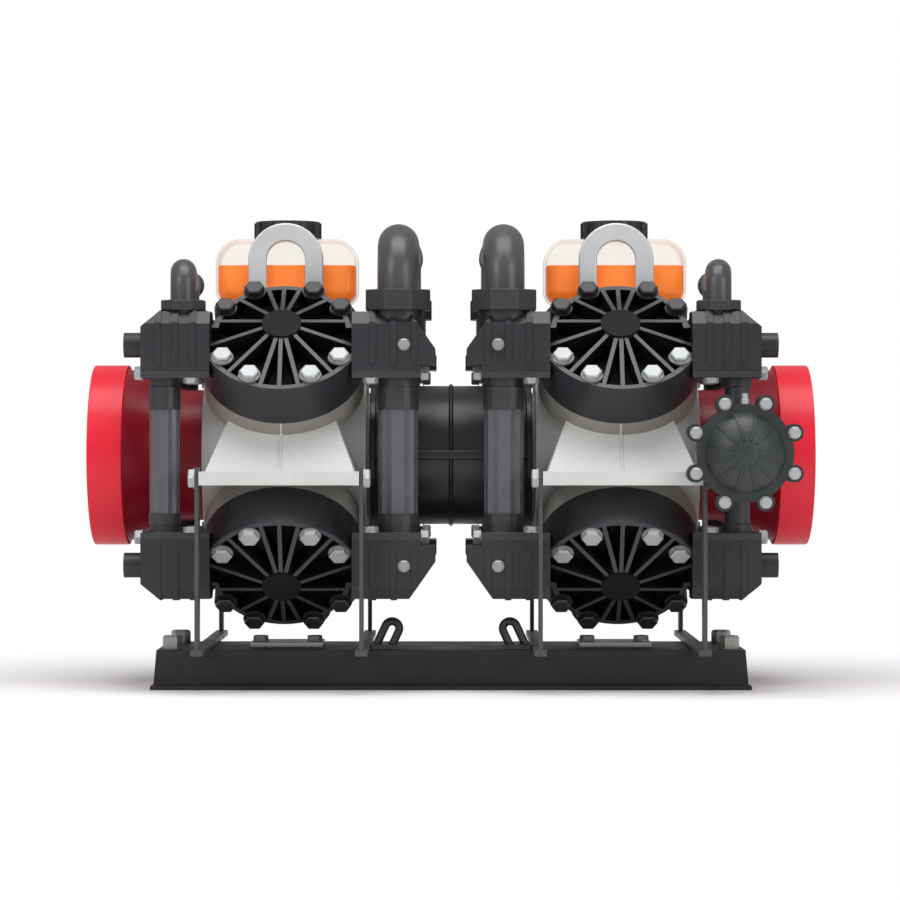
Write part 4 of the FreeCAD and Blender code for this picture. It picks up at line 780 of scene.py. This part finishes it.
def bolt_group(title, rows, finish, node_name):
    """Bolt heads of one finish, one mesh for each size, each head as large as the CAD's."""
    for i, size in enumerate(sorted({(round(row[3], 4), round(row[2], 4)) for row in rows})):
        flats, height = size
        spots = [(tuple(foot), tuple(axis.to_track_quat("Z", "Y").to_euler()))
                 for foot, axis, tall, wide in rows
                 if (round(wide, 4), round(tall, 4)) == size]
        corner = flats / math.sqrt(3)
        piece = fitted(f"{title}_{i}", bolt_tree, spots,
                       {bolt_ids["Corner"]: corner,
                        bolt_ids["Height"]: height * (1 - CHAMFER),
                        bolt_ids["Chamfer"]: height * CHAMFER,
                        bolt_ids["Crown"]: corner * CROWN,
                        bolt_ids["Washer"]: corner * WASHER,
                        bolt_ids["Sheet"]: WASHER_SHEET, bolt_ids["Finish"]: finish},
                       body_of(node_name))
        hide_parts(node_name)


def bolt_look(row):
    """Which finish a bolt has, by where it sits."""
    foot, axis = row[0], row[1]
    bleed_screw = abs(axis.y) > UPRIGHT and abs(foot.x) < BLEED_SCREWS_WITHIN
    if foot.z < RAIL_BOLTS_BELOW or bleed_screw:
        return "dull"
    tilted = LEANING < abs(axis.z) < UPRIGHT
    toward_shaft = abs(foot.z - SHAFT_Z) < abs(foot.y)
    # The dark finish on the bolts round the far side of the covers is painted shade.
    return "dark" if tilted and not toward_shaft else "bright"


LOOKS = {"dull": dull_zinc, "dark": dark_steel_and_shade, "bright": zinc}
for name in ("m10_bolts", "small_bolts"):
    rows = hexagons(name)
    for look, finish in LOOKS.items():
        chosen = [row for row in rows if bolt_look(row) == look]
        if chosen:
            bolt_group(f"{name}_{look}", chosen, finish, name)

# Tie-down eyes and the damper's air valve. The eyes are bent from round steel and oiled
# black; the valve is a turned stem under a screw cap, plated like the bright bolts.
TIE_EYE_EDGE = 0.6 * MM
AIR_VALVE_EDGE = 0.3 * MM
edged("tie_down_eyes", "tie_down_eyes", TIE_EYE_EDGE, dark_steel_and_shade)
edged("air_valve", "air_valve", AIR_VALVE_EDGE, zinc)

# Floor, light and camera. Even white studio: the ground keeps only the soft shadow, and
# runs out into plain white well away from the pump.
PAPER_HALF = 9.0
POOL_HALF = (0.62, 0.42)
FADE_FROM = 0.75
FADE_TO = 1.5
floor_mesh = bpy.data.meshes.new("floor")
floor_mesh.from_pydata([(-PAPER_HALF, -PAPER_HALF, 0), (PAPER_HALF, -PAPER_HALF, 0),
                        (PAPER_HALF, PAPER_HALF, 0), (-PAPER_HALF, PAPER_HALF, 0)],
                       [], [(0, 1, 2, 3)])
floor = add_object("floor", floor_mesh)

# Matt white paper that takes the shadow in a pool round the pump, and past it is lit to
# the plain white of the backdrop.
paper, tree = blank_material("white_studio_paper")
place = node(tree, "ShaderNodeTexCoord").outputs["Object"]
stretched = node(tree, "ShaderNodeVectorMath",
                 {0: place, 1: (1 / POOL_HALF[0], 1 / POOL_HALF[1], 1.0)},
                 operation="MULTIPLY")
away = node(tree, "ShaderNodeVectorMath", {0: stretched.outputs["Vector"]}, operation="LENGTH")
fade = node(tree, "ShaderNodeMapRange",
            {"Value": away.outputs["Value"], "From Min": FADE_FROM, "From Max": FADE_TO},
            interpolation_type="SMOOTHSTEP")
path = node(tree, "ShaderNodeLightPath")
seen = node(tree, "ShaderNodeMath", {0: path.outputs["Is Camera Ray"],
                                     1: path.outputs["Is Transmission Ray"]}, operation="MAXIMUM")
plain = node(tree, "ShaderNodeMath", {0: seen.outputs["Value"], 1: fade.outputs["Result"]},
             operation="MULTIPLY")
matt = node(tree, "ShaderNodeBsdfDiffuse", {"Color": linear("#fafafa")})
lit = node(tree, "ShaderNodeEmission", {"Color": linear("#ffffff"), "Strength": 1.0})
blend = node(tree, "ShaderNodeMixShader", {0: plain.outputs["Value"], 1: matt.outputs["BSDF"],
                                           2: lit.outputs["Emission"]})
node(tree, "ShaderNodeOutputMaterial", {"Surface": blend.outputs["Shader"]})
floor_mesh.materials.append(paper)


def area_light(name, at, look_at, size, power):
    """Soft lamp aimed at a point."""
    lamp = bpy.data.lights.new(name, "AREA")
    lamp.shape = "RECTANGLE"
    lamp.size, lamp.size_y = size
    lamp.energy = power
    made = bpy.data.objects.new(name, lamp)
    made.location = at
    made.rotation_euler = (Vector(look_at) - Vector(at)).to_track_quat("-Z", "Y").to_euler()
    bpy.context.scene.collection.objects.link(made)


TOP_BOX = (1.8, 1.2)
SIDE_BOX = (0.9, 1.2)
TOP_WATTS = 27
LEFT_WATTS = 13
RIGHT_WATTS = 12
ROOM_LIGHT = 0.42
area_light("top_softbox", (0.0, -0.5, 2.0), (0, 0, 0.2), TOP_BOX, TOP_WATTS)
area_light("left_softbox", (-1.5, -1.7, 1.3), (0, 0, 0.25), SIDE_BOX, LEFT_WATTS)
area_light("right_softbox", (1.6, -1.7, 1.0), (0, 0, 0.2), SIDE_BOX, RIGHT_WATTS)

world = bpy.data.worlds.new("studio")
bpy.context.scene.world = world
world.use_nodes = True
tree = world.node_tree
tree.nodes.clear()
path = node(tree, "ShaderNodeLightPath")
seen = node(tree, "ShaderNodeMath", {0: path.outputs["Is Camera Ray"],
                                     1: path.outputs["Is Transmission Ray"]}, operation="MAXIMUM")
room = node(tree, "ShaderNodeBackground", {"Color": linear("#ffffff"), "Strength": ROOM_LIGHT})
white = node(tree, "ShaderNodeBackground", {"Color": linear("#ffffff"), "Strength": 1.0})
choice = node(tree, "ShaderNodeMixShader", {0: seen.outputs["Value"],
                                            1: room.outputs["Background"],
                                            2: white.outputs["Background"]})
node(tree, "ShaderNodeOutputWorld", {"Surface": choice.outputs["Shader"]})

CAMERA_AWAY = 3.3
CAMERA_HIGH = 0.233
FOCAL_MM = 132
SENSOR_MM = 36
PICTURE_PIXELS = 900
lens = bpy.data.cameras.new("camera")
lens.lens = FOCAL_MM
lens.sensor_width = SENSOR_MM
lens.shift_x = -1 / PICTURE_PIXELS
camera = bpy.data.objects.new("camera", lens)
camera.location = (0, -CAMERA_AWAY, CAMERA_HIGH)
camera.rotation_euler = (math.radians(90), 0, 0)
bpy.context.scene.collection.objects.link(camera)
bpy.context.scene.camera = camera
bpy.context.scene.view_settings.view_transform = "Standard"
